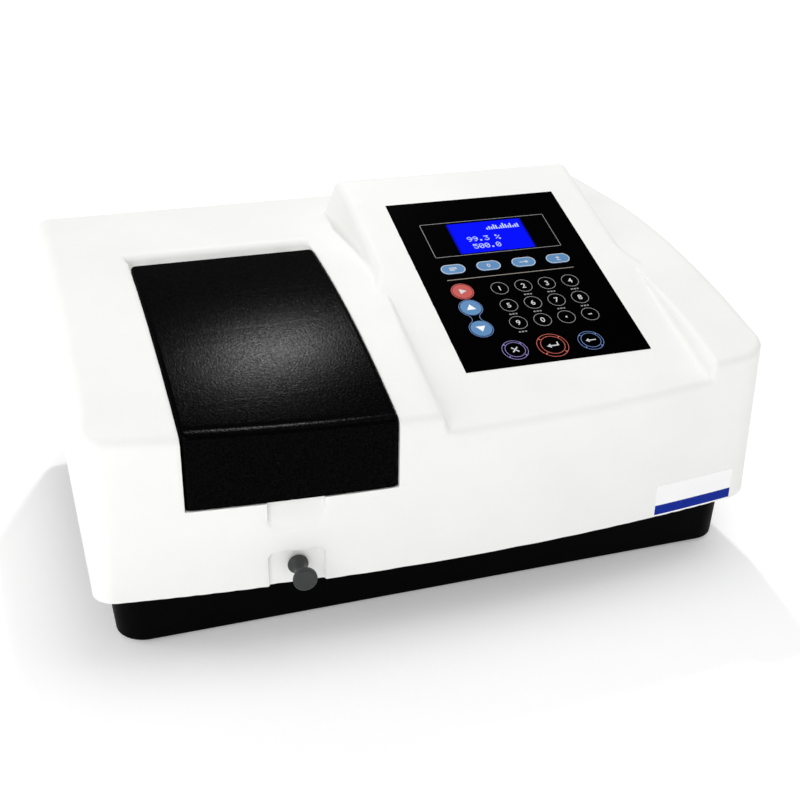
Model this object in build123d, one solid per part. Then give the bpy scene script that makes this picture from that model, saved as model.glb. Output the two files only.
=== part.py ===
from build123d import *
import os, math

os.makedirs("parts", exist_ok=True)

# ---------------------------------------------------------------- driving dimensions (mm)
# Working frame: x = 0 at the base's left side, y = 0 at the base's front bottom edge
# (+Y to the rear), z = 0 at the base's underside. OX, OY, OZ move it to the part's own origin.
W = 440.0            # base width
BASE_D = 287.0       # base depth at the floor
BASE_H = 45.6        # base wall height
BASE_R = 20.0        # base corner radius
HB = 45.9            # lower edge of the cover
E_BOT = 13.8         # cover overhang past the base, at its lower edge
E_SLOPE = 0.020      # side draft of the cover, mm per mm of height
Y0 = -19.1           # cover front at its corners
BOW = 17.3           # how far the front bows out at the middle
D = 294.2            # rear face of the cover
RF, RR = 24.0, 12.0  # plan corner radii, front and rear
T = 3.0              # cover wall
H1 = 198.5           # flat rear top of the cover
YT, RB = 228.1, 743.5  # where the top starts to fall, and its radius
ZF, SL = 139.33, 0.370 # console plane: height at y = -36, rise per mm of depth
YRIDGE, ZRIDGE, YHR = 218.0, 233.3, 240.0   # console ridge, and foot of its rear wall
HXL, HXR = 208.5, 401.3  # console sides
XL, XR, YLR = 44.9, 176.3, 164.0   # lid: left, right, rear edge
ZLB = 106.7          # lid lower front edge
LIDP = 1.6           # how proud the lid stands
LT = 2.5             # lid wall
FOOT_H = 4.0
OX, OY, OZ = 220.0, 120.1, FOOT_H

YB, ZB, XCELL = 70.0, 81.0, 111.0    # light beam: y and height, and the cell row's x
PITCH, SLOT, TRAVEL = 15.0, 12.8, 45.0
ROD_Z, ROD_R = 61.0, 3.0
HY, HZ = 171.6, 190.2                # lid hinge axis

AL = math.atan(SL)


def zcrest(y, off=0.0):
    return H1 + off - (max(0.0, YT - y) ** 2) / (2 * RB)


def bow_y(x):
    u = (x - W / 2) / (W / 2 + E_BOT)
    return Y0 - BOW * (1 - u * u)


def zpan(y):
    return ZF + SL * (y + 36)


def box(x0, x1, y0, y1, z0, z1):
    return Pos((x0 + x1) / 2, (y0 + y1) / 2, (z0 + z1) / 2) * Box(x1 - x0, y1 - y0, z1 - z0)


def cylx(x0, x1, y, z, r):
    return Pos((x0 + x1) / 2, y, z) * Rot(0, 90, 0) * Cylinder(r, x1 - x0)


def cyly(y0, y1, x, z, r):
    return Pos(x, (y0 + y1) / 2, z) * Rot(90, 0, 0) * Cylinder(r, y1 - y0)


def cylz(z0, z1, x, y, r):
    return Pos(x, y, (z0 + z1) / 2) * Cylinder(r, z1 - z0)


def plan(z, e, inset=0.0, rf=RF, rr=RR, front=None):
    """Plan outline of the cover at one height, bowed at the front."""
    x0, x1 = -e + inset, W + e - inset
    yf = Y0 + inset
    a = RadiusArc((x0, yf), (x1, yf), -(((x1 - x0) / 2) ** 2 + BOW ** 2) / (2 * BOW))
    if (a @ 0.5).Y > yf:
        a = RadiusArc((x0, yf), (x1, yf), (((x1 - x0) / 2) ** 2 + BOW ** 2) / (2 * BOW))
    w = Polyline([(x1, yf), (x1, D - inset), (x0, D - inset), (x0, yf)])
    f = make_face(Curve() + [a, w])
    vs = f.vertices()
    f = fillet([v for v in vs if v.Y < 100], rf - inset * 0.9)
    f = fillet([v for v in f.vertices() if v.Y > D - inset - 0.1], rr - inset * 0.9)
    return Pos(0, 0, z) * f


def plan_solid(z0, z1, inset=0.0):
    e0 = E_BOT - E_SLOPE * (z0 - HB)
    e1 = E_BOT - E_SLOPE * (z1 - HB)
    return loft([plan(z0, e0, inset), plan(z1, e1, inset)], ruled=True)


def prism(pts, x0, x1, spl=None):
    """Solid from a closed YZ outline: a spline through spl, then straight lines through pts."""
    es = []
    if spl:
        s = Spline([(0, p[0], p[1]) for p in spl])
        es.append(s)
        chain = [spl[-1]] + pts + [spl[0]]
    else:
        chain = pts + [pts[0]]
    es.append(Polyline([(0, p[0], p[1]) for p in chain]))
    f = make_face(Curve() + es)
    s = extrude(f, amount=x1 - x0, dir=(1, 0, 0))
    return Pos(x0, 0, 0) * s


CY = [-70, -36, -10, 20, 60, 100, 150, 190, YT]


def crest_prism(x0, x1, off=0.0, rear=0.0):
    spl = [(y, zcrest(y, off)) for y in CY]
    # the rear top edge is rounded
    r = 8.0
    pts = [(D - rear - r, H1 + off)]
    pts += [(D - rear - r + r * math.sin(a), H1 + off - r + r * math.cos(a)) for a in
            [math.radians(k) for k in (22.5, 45, 67.5, 90)]]
    pts += [(D + 20 if rear == 0 else D - rear, H1 - 40), (D + 20 if rear == 0 else D - rear, 0), (-70, 0)]
    if rear == 0:
        pts[-3] = (D, H1 - 40)
        pts[-2] = (D, 0)
    return prism(pts, x0, x1, spl)


def hood_prism(x0, x1, dn=0.0):
    """Console: the sloping plane, a rounded ridge, a steep rear wall, then the flat top."""
    n = dn * math.hypot(1, SL)
    R = max(9.0 - dn, 3.0)
    A = (-70, zpan(-70) - n)
    Rg = (YRIDGE - dn * 0.8, ZRIDGE - n * 0.9 + 0.4)
    Ft = (YHR - dn, H1 - dn)
    pts = [A, Rg, Ft, (D - dn - 8, H1 - dn), (D - dn - 2.4, H1 - dn - 2.4), (D - dn, H1 - dn - 8), (D - dn, 0), (-70, 0)]
    f = make_face(Polyline([(0, p[0], p[1]) for p in pts + [pts[0]]]))
    v = [v for v in f.vertices() if abs(v.Y - Rg[0]) < 0.01 and abs(v.Z - Rg[1]) < 0.01]
    f = fillet(v, R)
    return Pos(x0, 0, 0) * extrude(f, amount=x1 - x0, dir=(1, 0, 0))


# console-local frame: x as world x, v up the slope from y = -36, w out of the surface
PANEL = Plane(origin=(0, -36, ZF), x_dir=(1, 0, 0), z_dir=(0, -math.sin(AL), math.cos(AL)))
PLOC = Location(PANEL)


def pbox(x0, x1, v0, v1, w0, w1):
    return PLOC * box(x0, x1, v0, v1, w0, w1)


def pcyl(x, v, w0, w1, r):
    return PLOC * cylz(w0, w1, x, v, r)


def ppill(x, v, w0, w1, lx, lv):
    s = SlotOverall(lx, lv)
    return PLOC * (Pos(x, v, w0) * extrude(s, amount=w1 - w0))


parts = {}

# ---------------------------------------------------------------- control panel numbers
MX0, MX1, MV0, MV1 = 237.5, 373.1, 49.1, 229.8
LCD = (275.2, 335.2, 166.4, 201.2)
KEY_TRAVEL = 0.4
GX = [290.1, 308.3, 326.4, 344.6]
GV = [125.4, 107.1, 88.9]
PX = [263.9, 291.1, 318.4, 345.6]
keys = {}
for i, x in enumerate(PX):
    keys["key_f%d" % (i + 1)] = ("pill", x, 150.7, 18.3, 10.0)
keys["key_start"] = ("round", 262.4, 126.5, 8.2, 0)
keys["key_up"] = ("round", 262.4, 109.1, 7.5, 0)
keys["key_down"] = ("round", 262.4, 87.7, 7.5, 0)
names = [["key_1", "key_2", "key_3", "key_4"], ["key_5", "key_6", "key_7", "key_8"],
         ["key_9", "key_0", "key_point", "key_minus"]]
for r in range(3):
    for c in range(4):
        keys[names[r][c]] = ("round", GX[c], GV[r], 6.6, 0)
keys["key_clear"] = ("round", 277.9, 63.6, 7.4, 0)
keys["key_enter"] = ("round", 305.5, 63.6, 9.0, 0)
keys["key_back"] = ("round", 334.0, 63.6, 7.4, 0)

# ---------------------------------------------------------------- top cover
outer = plan_solid(HB, 250.0) & (crest_prism(-40, HXL) + crest_prism(HXR, W + 40) + hood_prism(HXL, HXR))
outer = outer.solids()[0] if len(outer.solids()) == 1 else outer


def try_fillet(s, sel, r):
    es = sel(s)
    try:
        o = s.fillet(r, es)
        if o.is_valid and o.volume > 0.9 * s.volume:
            return o
    except Exception as ex:
        print("fillet", r, "skipped on", len(es), "edges")
    return s


def top_edges(s, x0, x1, kind):
    out = []
    for e in s.edges():
        b = e.bounding_box()
        c = e @ 0.5
        if not (x0 - 0.6 < b.min.X and b.max.X < x1 + 0.6):
            continue
        if kind == "front" and c.Z > 120 and c.Y < 5 and (b.max.Z - b.min.Z) < 12:
            out.append(e)
        if kind == "side" and c.Z > 120 and b.max.X - b.min.X < 30 and b.max.Y - b.min.Y > 30 and abs(c.X - W / 2) > 215:
            out.append(e)
    return out


outer = try_fillet(outer, lambda s: top_edges(s, HXL, HXR, "front"), 6.0)
outer = try_fillet(outer, lambda s: [e for e in s.edges() if (e @ 0.5).Z > 120 and abs((e @ 0.5).X - W / 2) > 205
                                     and abs((e @ 0.5).X - HXR) > 2 and abs((e @ 0.5).X - HXL) > 2
                                     and (e.bounding_box().max.Y - e.bounding_box().min.Y > 4 or (e @ 0.5).Y < 30)
                                     and (e @ 0.5).Y < D - 12 and e.bounding_box().max.Z - e.bounding_box().min.Z < 60
                                     and not (e.bounding_box().min.Z < 60)], 8.0)

inner = plan_solid(HB - 1, 250.0, T)
ilow = crest_prism(-40, HXL - T, -T, T) + crest_prism(HXR + T, W + 40, -T, T) \
    + (crest_prism(HXL - T - 0.01, HXR + T + 0.01, -T, T) & hood_prism(HXL - T - 0.01, HXR + T + 0.01, T)) \
    + hood_prism(HXL + T, HXR - T, T)
inner = inner & ilow

# finger notch under the lid, and the recess round the pull knob
N1 = (92.7, 129.2, 92.5, ZLB + 1)
N2 = (92.2, 128.0, HB - 1, 70.5)
NY = -27.6
notch1 = extrude(Pos(0, NY, 0) * (Plane.XZ * (Pos((N1[0] + N1[1]) / 2, (N1[2] + 120) / 2) * RectangleRounded(N1[1] - N1[0], 120 - N1[2], 5))), amount=40)
notch2 = extrude(Pos(0, NY - 0.6, 0) * (Plane.XZ * (Pos((N2[0] + N2[1]) / 2, (N2[3] + 20) / 2) * RectangleRounded(N2[1] - N2[0], N2[3] - 20, 4))), amount=40)
inner = inner - box(N1[0] - 2.5, N1[1] + 2.5, -60, NY + 2.4, N1[2] - 2.5, ZLB + 10) \
    - box(N2[0] - 2.5, N2[1] + 2.5, -60, NY + 1.8, HB - 2, N2[3] + 2.5)
TR0, TR1, TRZ = 164.6, 180.2, 185.0
inner = inner - box(XL - 3.1, XR + 3.1, TR0 - 0.0, TR1 + 2.5, TRZ - 2.5, 230)
cover = outer - inner - notch1 - notch2
# lid opening, through the top and down the front
cover = cover - box(XL - 0.6, XR + 0.6, -80, TR0, ZLB - 0.7, 240)
# hinge trough behind the lid
cover = cover - box(XL - 0.6, XR + 0.6, TR0 - 1, TR1, TRZ, 240)
# hinge knuckles standing on the trough floor
KR = 3.2
for x0, x1 in ((52, 57.7), (72.3, 78), (144, 149.7), (164.3, 170)):
    cover = cover + box(x0, x1, HY - KR, HY + KR, TRZ - 0.5, HZ) + cylx(x0, x1, HY, HZ, KR)
cover = cover - cylx(51, 171, HY, HZ, 1.5)
# control panel: shallow seat and a through opening
cover = cover - pbox(MX0 - 0.15, MX1 + 0.15, MV0 - 0.15, MV1 + 0.15, -0.9, 6) \
    - pbox(MX0 + 4, MX1 - 4, MV0 + 4, MV1 - 4, -12, 1)
# hole for the pull rod's bush
cover = cover - cyly(-40, -20, XCELL, ROD_Z, 5.0)
# screw bosses low on the side walls
SCR = [(-5.4, 45), (-5.4, 150), (-5.4, 255), (W + 5.4, 45), (W + 5.4, 150), (W + 5.4, 255)]
for x, y in SCR:
    s = 1 if x > 0 else -1
    cover = cover + box(min(x - s * 4, x + s * 6.2), max(x - s * 4, x + s * 6.2), y - 4.5, y + 4.5, 49.2, 61)
    cover = cover - cylz(49, 59, x, y, 1.95)
# rear cut-outs: inlet, switch, data connector, fan
FX, FZ, FS = 408.0, 96.0, 60.0
INX, INZ = 60.0, 96.0
SWX, SWZ = 104.0, 96.0
cover = cover - box(INX - 14.2, INX + 14.2, D - 10, D + 5, INZ - 10.6, INZ + 10.6)
cover = cover - box(SWX - 6.8, SWX + 6.8, D - 10, D + 5, SWZ - 10.8, SWZ + 10.8)
cover = cover - box(239.5, 271.5, D - 10, D + 5, 62.6, 75.4)
for k in range(7):
    zz = FZ - 24 + 8 * k
    hw = math.sqrt(max(27.0 ** 2 - (zz - FZ) ** 2, 0))
    cover = cover - box(FX - hw, FX + hw, D - 10, D + 5, zz - 2, zz + 2)
# cooling slots on the rear wall's left half
for k in range(9):
    cover = cover - box(30 + 12 * k, 34 + 12 * k, D - 10, D + 5, 130, 165)
cs = cover.solids().sort_by(SortBy.VOLUME)
parts["top_cover"] = cs[-1]
print("cover solids", len(cs), round(cs[-1].volume / 1000, 1), "cm3", cs[-1].is_valid)

# ---------------------------------------------------------------- base tray
bf = make_face(Polyline([(0, 0), (W, 0), (W, BASE_D), (0, BASE_D), (0, 0)]))
bf = fillet(bf.vertices(), BASE_R)
tray = extrude(bf, amount=BASE_H, taper=-2.0)
fi = make_face(Polyline([(3, 3), (W - 3, 3), (W - 3, BASE_D - 3), (3, BASE_D - 3), (3, 3)]))
fi = fillet(fi.vertices(), BASE_R - 3)
tray_in = Pos(0, 0, 2.5) * extrude(fi, amount=60, taper=-2.0)
flange = (plan_solid(46.2, 49.2, T + 0.5) & box(-60, W + 60, -60, D + 10, 46.2, 49.2))
flange = flange + (extrude(Pos(0, 0, BASE_H - 1.4) * offset(bf, amount=1.5), amount=3.0))
flange = flange - box(N2[0] - 3, N2[1] + 3, -60, NY + 2.2, 40, 60)
tray = tray + flange - tray_in
posts = [(66, 0, 52.0), (155, 0, 52.0), (66, 148, 52.0), (155, 148, 52.0)]
TUBZ = 52.0
for x, y in ((66, 8), (155, 8), (66, 146), (155, 146)):
    tray = tray + cylz(2, TUBZ, x, y, 5)
for x, y in ((204, 34), (318, 34), (204, 176), (318, 176)):
    tray = tray + cylz(2, 45.0, x, y, 5)
for x, y in ((200, 212), (330, 212), (200, 274), (330, 274)):
    tray = tray + cylz(2, 60.0, x, y, 3.5)
for x, y in ((24, 54), (24, 86)):
    tray = tray + cylz(2, 56.0, x, y, 4)
for x, y in ((370, 128), (424, 128), (370, 197), (424, 197)):
    tray = tray + cylz(2, 34.0, x, y, 4)
for x, y in ((30, 206), (150, 206), (150, 270)):
    tray = tray + cylz(2, 4.5, x, y, 6)
for x, y in SCR:
    tray = tray - cylz(40, 55, x, y, 2.2)
tray = tray - cylz(-1, 3, 30, 30, 2.1) - cylz(-1, 3, W - 30, 30, 2.1) - cylz(-1, 3, 30, BASE_D - 30, 2.1) - cylz(-1, 3, W - 30, BASE_D - 30, 2.1)
ts = tray.solids().sort_by(SortBy.VOLUME)
print("tray solids", len(ts), round(ts[-1].volume / 1000, 1), ts[-1].is_valid)
parts["base_tray"] = ts[-1]

feet = []
for x, y in ((30, 30), (W - 30, 30), (30, BASE_D - 30), (W - 30, BASE_D - 30)):
    f = Pos(x, y, -FOOT_H / 2) * Cone(10, 11.5, FOOT_H)
    feet.append(f + cylz(-0.5, 4.5, x, y, 2.0) + cylz(2.5, 4.5, x, y, 3.2))
parts["rubber_feet"] = Compound(children=feet)

sc = []
for x, y in SCR:
    h = cylz(43.2, 46.2, x, y, 3.4) - box(x - 0.5, x + 0.5, y - 3, y + 3, 43.0, 44.4)
    sc.append(h + cylz(46.0, 58.5, x, y, 1.9))
parts["cover_screws"] = Compound(children=sc)

# ---------------------------------------------------------------- lid
def lid_plan(inset, yb):
    x0, x1 = XL + inset, XR - inset
    a = ThreePointArc((x0, bow_y(x0) + inset), ((x0 + x1) / 2, bow_y((x0 + x1) / 2) + inset), (x1, bow_y(x1) + inset))
    w = Polyline([(x1, bow_y(x1) + inset), (x1, yb), (x0, yb), (x0, bow_y(x0) + inset)])
    f = make_face(Curve() + [a, w])
    return fillet(f.vertices(), max(3.5 - inset, 0.8))


lid_o = extrude(lid_plan(0, YLR), amount=260) & crest_prism(XL - 5, XR + 5, LIDP)
lid_o = lid_o - box(XL - 5, XR + 5, -80, -8, 0, ZLB)
# underside outline: skirts follow the top, 9 mm deep, the front falls to its lower edge
sk = [(y, zcrest(y, LIDP) - 12.0) for y in (-8, 20, 60, 100, 150, 200)]
und = prism([(200, 0), (-8, 0)], XL - 5, XR + 5, sk)
lid_o = lid_o - und


def lid_top_edges(s):
    return [e for e in s.edges() if e.bounding_box().max.Z > 140 and
            all(abs((e @ t).Z - zcrest((e @ t).Y, LIDP)) < 0.6 for t in (0, 0.25, 0.5, 0.75, 1))]


lid_f = lid_o
for r in (3.0, 2.0):
    g = try_fillet(lid_o, lid_top_edges, r)
    if g is not lid_o:
        lid_f = g
        print("lid fillet", r)
        break
lid_i = extrude(lid_plan(LT, YLR - LT), amount=260) & crest_prism(XL - 5, XR + 5, LIDP - LT)
lid = lid_f - lid_i
# hinge lugs reaching back to the pin
for x0, x1 in ((58, 72), (150, 164)):
    lug = box(x0, x1, YLR - 10, HY, HZ - 2.2, HZ + 2.2) + cylx(x0, x1, HY, HZ, KR)
    lug = lug + box(x0, x1, YLR - 10, YLR - LT + 0.2, HZ - 2.2, zcrest(YLR - 6, LIDP - LT) + 0.6)
    lid = lid - box(x0 - 0.01, x1 + 0.01, YLR - LT - 0.01, YLR + 3, HZ - 5, HZ - 2.2) + lug
lid = lid - cylx(50, 172, HY, HZ, 1.56)
ls = lid.solids().sort_by(SortBy.VOLUME)
print("lid solids", len(ls), round(ls[-1].volume / 1000, 1), ls[-1].is_valid)
parts["lid"] = ls[-1]
parts["hinge_pin"] = cylx(51, 171, HY, HZ, 1.5)

# ---------------------------------------------------------------- sample chamber
CX0, CX1, CY0, CY1 = 50.0, 171.2, -23.0, 158.0
CT = 2.5
side = [(y, zcrest(y, LIDP - LT - 3.6)) for y in (-14, 20, 60, 100, 130, CY1)]
co = prism([(CY1, TUBZ), (CY0, TUBZ), (CY0, 148.0)], CX0, CX1, side)
ch = co - box(CX0 + CT, CX1 - CT, CY0 + CT, CY1 - CT, TUBZ + CT, 260)
ch = ch - box(CX0 + CT, CX1 - CT, -60, CY0 + CT + 0.1, 103.0, 260)
ch = ch - cyly(-40, 0, XCELL, ROD_Z, 5.0)
for x0 in (57.0, 149.0):
    ch = ch - box(x0, x0 + 16, CY1 - 6, CY1 + 2, 184.8, 230)
ch = ch - cylx(CX0 - 1, CX0 + 4, YB, ZB, 8.0) - cylx(CX1 - 4, CX1 + 1, YB, ZB, 8.0)
RX = (84.0, 138.0)
for x in RX:
    ch = ch - cyly(CY0 + CT - 1.2, CY1 - CT + 1.2, x, ROD_Z, ROD_R)
parts["sample_chamber"] = ch.solids().sort_by(SortBy.VOLUME)[-1]
print("chamber solids", len(ch.solids()))

# foam light seal on the chamber's rim (sides and rear)
so = prism([(CY1, TUBZ), (CY0 + 0.6, TUBZ), (CY0 + 0.6, 149.5)], CX0 + 0.2, CX1 - 0.2, [(y, z + 2.6) for y, z in side])
si = prism([(CY1 + 1, TUBZ - 5), (CY0 - 1, TUBZ - 5), (CY0 - 1, 148.05)], CX0 - 1, CX1 + 1, [(y, z + 0.05) for y, z in side])
seal = so - si - box(CX0 + CT - 0.2, CX1 - CT + 0.2, -60, CY1 - CT + 0.2, 0, 260)
seal = seal & box(CX0, CX1, -12, CY1 - 0.2, 100, 260)
for x0 in (57.0, 149.0):
    seal = seal - box(x0, x0 + 16, CY1 - 6, CY1 + 2, 170, 230)
parts["chamber_seal"] = Compound(children=list(seal.solids())) if len(seal.solids()) > 1 else seal
print("seal solids", len(seal.solids()))

parts["chamber_windows"] = Compound(children=[cylx(CX0 + 0.2, CX0 + 2.2, YB, ZB, 8.0), cylx(CX1 - 2.2, CX1 - 0.2, YB, ZB, 8.0)])
parts["carriage_rails"] = Compound(children=[cyly(CY0 + CT - 1.2, CY1 - CT + 1.2, x, ROD_Z, ROD_R) for x in RX])

# cell carriage: base plate on two rails, four square slots with beam windows
CB0, CB1 = YB - 8.4, YB + 3 * PITCH + 8.4
car = box(RX[0] - 7, RX[1] + 7, CB0, CB1, 56.2, 66.0) + box(XCELL - 9, XCELL + 9, CB0, CB1, 65.9, 100.0)
for x in RX:
    car = car - cyly(CB0 - 1, CB1 + 1, x, ROD_Z, ROD_R + 0.05)
for k in range(4):
    y = YB + PITCH * k
    car = car - box(XCELL - SLOT / 2, XCELL + SLOT / 2, y - SLOT / 2, y + SLOT / 2, 66.0, 101)
    car = car - box(XCELL - 10, XCELL + 10, y - 4, y + 4, 72.0, 90.0)
car = car - cyly(CB0 - 1, CB0 + 10, XCELL, ROD_Z, ROD_R)
parts["cell_carriage"] = car.solids()[0]

KN1 = -53.6
parts["pull_rod"] = cyly(-33.4, CB0 + 9.9, XCELL, ROD_Z, ROD_R)
knob_prof = [(0, KN1), (6.6, KN1), (7.7, KN1 + 1.2), (7.7, KN1 + 3.8), (6.2, KN1 + 5.4), (4.4, KN1 + 8.0), (3.9, KN1 + 11.5),
             (4.3, KN1 + 15.0), (6.6, KN1 + 19.0), (7.0, KN1 + 20.4), (6.8, KN1 + 23.0), (0, KN1 + 23.0)]
kf = make_face(Polyline([(XCELL + a, b, ROD_Z) for a, b in knob_prof + [knob_prof[0]]]))
knob = revolve(kf, axis=Axis((XCELL, 0, ROD_Z), (0, 1, 0)))
knob = knob - cyly(-33.5, 0, XCELL, ROD_Z, ROD_R)
parts["rod_knob"] = knob.solids()[0]
bush = cyly(-29.3, -28.2, XCELL, ROD_Z, 7.0) + cyly(-28.3, -20.0, XCELL, ROD_Z, 5.0)
parts["rod_bush"] = bush - cyly(-40, 0, XCELL, ROD_Z, ROD_R + 0.06)

# ---------------------------------------------------------------- monochromator
M = dict(x0=192.0, x1=330.0, y0=22.0, y1=188.0, z0=45.0, z1=110.0)
mono = box(M["x0"], M["x1"], M["y0"], M["y1"], M["z0"], M["z1"]) - box(M["x0"] + 4, M["x1"] - 4, M["y0"] + 4, M["y1"] - 4, M["z0"] + 4, 130)
mono = mono + cylx(CX1, M["x0"] + 1, YB, ZB, 11.0) - cylx(CX1 - 1, M["x0"] + 5, YB, ZB, 6.0)
YE = 150.0
mono = mono - cylx(M["x1"] - 5, M["x1"] + 1, YE, ZB, 6.0)
GXC, GYC, ARM = 268.0, 112.0, 62.0
SCY, SCZ = GYC - ARM, 58.0
mono = mono + cylz(48.5, 52.0, GXC, GYC, 12)
mono = mono - cylz(44, 60, GXC, GYC, 4.05)
mono = mono - cylx(M["x1"] - 5, M["x1"] + 1, SCY, SCZ, 2.56)
mono = mono + (box(M["x0"] + 3, M["x0"] + 24, SCY - 7, SCY + 7, 48.5, SCZ + 7) - cylx(M["x0"] + 6, M["x0"] + 30, SCY, SCZ, 2.56))
# the two slits, in thin plates across the beam holes
s1 = box(M["x0"] + 3.9, M["x0"] + 5.2, YB - 9, YB + 9, ZB - 9, ZB + 9) - box(M["x0"], M["x0"] + 8, YB - 0.5, YB + 0.5, ZB - 5, ZB + 5)
s2 = box(M["x1"] - 5.2, M["x1"] - 3.9, YE - 9, YE + 9, ZB - 9, ZB + 9) - box(M["x1"] - 8, M["x1"], YE - 0.5, YE + 0.5, ZB - 5, ZB + 5)
mono = mono + s1 + s2
parts["monochromator_box"] = mono.solids().sort_by(SortBy.VOLUME)[-1]
print("mono solids", len(mono.solids()))
mlid = box(M["x0"], M["x1"], M["y0"], M["y1"], M["z1"], M["z1"] + 3)
for x, y in ((M["x0"] + 8, M["y0"] + 8), (M["x1"] - 8, M["y0"] + 8), (M["x0"] + 8, M["y1"] - 8), (M["x1"] - 8, M["y1"] - 8)):
    mlid = mlid + cylz(M["z1"] + 2.9, M["z1"] + 5.0, x, y, 3.2) - box(x - 2.2, x + 2.2, y - 0.4, y + 0.4, M["z1"] + 4, M["z1"] + 6)
parts["monochromator_lid"] = mlid

# grating turret: shaft, table and the sine arm with its slot
tur = cylz(45.2, 53.0, GXC, GYC, 4.0) + cylz(52.3, 57.0, GXC, GYC, 15)
tur = tur + box(GXC - 5, GXC + 5, SCY - 7, GYC, 65.2, 69.0) + box(GXC - 5, GXC + 5, GYC - 14, GYC - 5, 56.9, 69.0)
tur = tur - box(GXC - 1.9, GXC + 1.9, SCY - 4, SCY + 4, 64, 70)
tur = tur + box(GXC - 6, GXC + 6, GYC + 1.5, GYC + 6, 56.9, 95)
parts["grating_turret"] = tur.solids()[0]
parts["diffraction_grating"] = box(GXC - 15, GXC + 15, GYC - 4.4, GYC + 1.5, 69.5, 94.5)
# lead screw on x, its end carrying the rotor of the stepper outside the right wall
parts["lead_screw"] = cylx(M["x0"] + 8, M["x1"] + 23.8, SCY, SCZ, 2.5) + cylx(M["x1"] + 3.5, M["x1"] + 21, SCY, SCZ, 12)
nut = box(GXC - 8, GXC + 8, SCY - 6, SCY + 6, SCZ - 5, SCZ + 5.5) - cylx(GXC - 9, GXC + 9, SCY, SCZ, 2.56)
nut = nut + cylz(SCZ + 5.4, 69.5, GXC, SCY, 1.5)
parts["drive_nut"] = nut.solids()[0]
mot = box(M["x1"], M["x1"] + 26, SCY - 17.5, SCY + 17.5, SCZ - 17.5, SCZ + 17.5) - cylx(M["x1"] - 1, M["x1"] + 24.2, SCY, SCZ, 2.56)
mot = mot - cylx(M["x1"] + 3.0, M["x1"] + 21.5, SCY, SCZ, 12.5)
parts["grating_motor"] = mot
# concave mirrors on their stands
mir = []
for x, y, s in ((M["x0"] + 8, YE, 1), (M["x1"] - 12, YB, -1)):
    m = box(x - 2, x + 6, y - 16, y + 16, M["z0"] + 4, ZB + 16)
    cx = x + 6 + 195 if s > 0 else x - 2 - 195
    m = m - Pos(cx, y, ZB) * Sphere(197)
    mir.append(m.solids().sort_by(SortBy.VOLUME)[-1])
parts["concave_mirrors"] = Compound(children=mir)

# order-sorting filter wheel and its motor, outside the entrance slit
FWZ = ZB + 15
fw = cylx(335.0, 338.0, YE, FWZ, 22) - cylx(334, 339, YE, FWZ, 1.5)
for k in range(6):
    a = math.radians(60 * k - 90)
    fw = fw - cylx(334, 339, YE + 15 * math.cos(a), FWZ + 15 * math.sin(a), 4.5)
fw = fw + cylx(338.0, 341.0, YE, FWZ, 4) - cylx(334, 342, YE, FWZ, 1.5) + cylx(334.6, 341.5, YE, FWZ, 1.5)
fw = fw + cylx(341.0, 346.0, YE, FWZ, 1.5)
parts["filter_wheel"] = fw.solids()[0]
fm = cylx(342.0, 360.0, YE, FWZ, 9.5) - cylx(341, 347, YE, FWZ, 1.56)
parts["filter_motor"] = fm

# ---------------------------------------------------------------- lamp house
L = dict(x0=360.0, x1=434.0, y0=120.0, y1=205.0, z0=34.0, z1=126.0)
lh = box(L["x0"], L["x1"], L["y0"], L["y1"], L["z0"], L["z1"]) - box(L["x0"] + 1.5, L["x1"] - 1.5, L["y0"] + 1.5, L["y1"] - 1.5, L["z0"] + 1.5, L["z1"] - 1.5)
lh = lh - cylx(L["x0"] - 1, L["x0"] + 3, YE, ZB, 6.0)
for k in range(6):
    lh = lh - box(L["x0"] + 8 + 11 * k, L["x0"] + 13 + 11 * k, L["y0"] + 12, L["y1"] - 12, L["z1"] - 3, L["z1"] + 1)
    lh = lh - box(L["x0"] + 8 + 11 * k, L["x0"] + 13 + 11 * k, L["y1"] - 3, L["y1"] + 1, L["z0"] + 12, L["z1"] - 14)
parts["lamp_house"] = lh.solids().sort_by(SortBy.VOLUME)[-1]
dl = cylz(L["z0"] + 1.5, L["z0"] + 14, 408, YE, 13) + cylz(L["z0"] + 13.9, 104, 408, YE, 15) + Pos(408, YE, 104) * Sphere(15)
parts["deuterium_lamp"] = dl.solids()[0]
hl = box(378, 396, 176, 190, L["z0"] + 1.5, 62) + cylz(61.9, 66, 387, 183, 6.5) + cylz(65.9, 88, 387, 183, 5.5) + Pos(387, 183, 88) * Sphere(5.5)
parts["halogen_lamp"] = hl.solids()[0]

# ---------------------------------------------------------------- detector
dh = box(14, CX0, YB - 22, YB + 22, 56, 106) - box(16, CX0 - 4, YB - 20, YB + 20, 58, 104)
dh = dh - cylx(CX0 - 5, CX0 + 1, YB, ZB, 6.0) + cylx(15.9, 24, YB, ZB, 7.0)
parts["detector_housing"] = dh.solids().sort_by(SortBy.VOLUME)[-1]

# ---------------------------------------------------------------- electronics
ps = box(14, 164, 196, 280, 4.5, 58) - box(15.5, 162.5, 197.5, 278.5, 6, 56.5)
for k in range(10):
    ps = ps - box(26 + 13 * k, 31 + 13 * k, 210, 266, 55, 60)
for k in range(4):
    x, y, r, h = ((40, 225, 11, 34), (70, 225, 9, 28), (110, 240, 14, 30), (140, 222, 8, 26))[k]
    ps = ps + cylz(5.9, 6 + h, x, y, r)
parts["power_supply"] = ps.solids().sort_by(SortBy.VOLUME)[-1]
mb = box(194, 336, 206, 280, 60, 61.6)
for x0, x1, y0, y1, h in ((205, 235, 215, 245, 3), (245, 262, 214, 228, 3.5), (275, 296, 216, 240, 4), (300, 328, 246, 268, 3), (208, 226, 255, 270, 9), (300, 330, 212, 218, 8)):
    mb = mb + box(x0, x1, y0, y1, 61.5, 61.6 + h)
mb = mb + box(240, 271, 266, D - T - 0.3, 61.5, 75.2) + box(240, 271, D - T - 1, D - 0.4, 62.8, 75.2)
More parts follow.
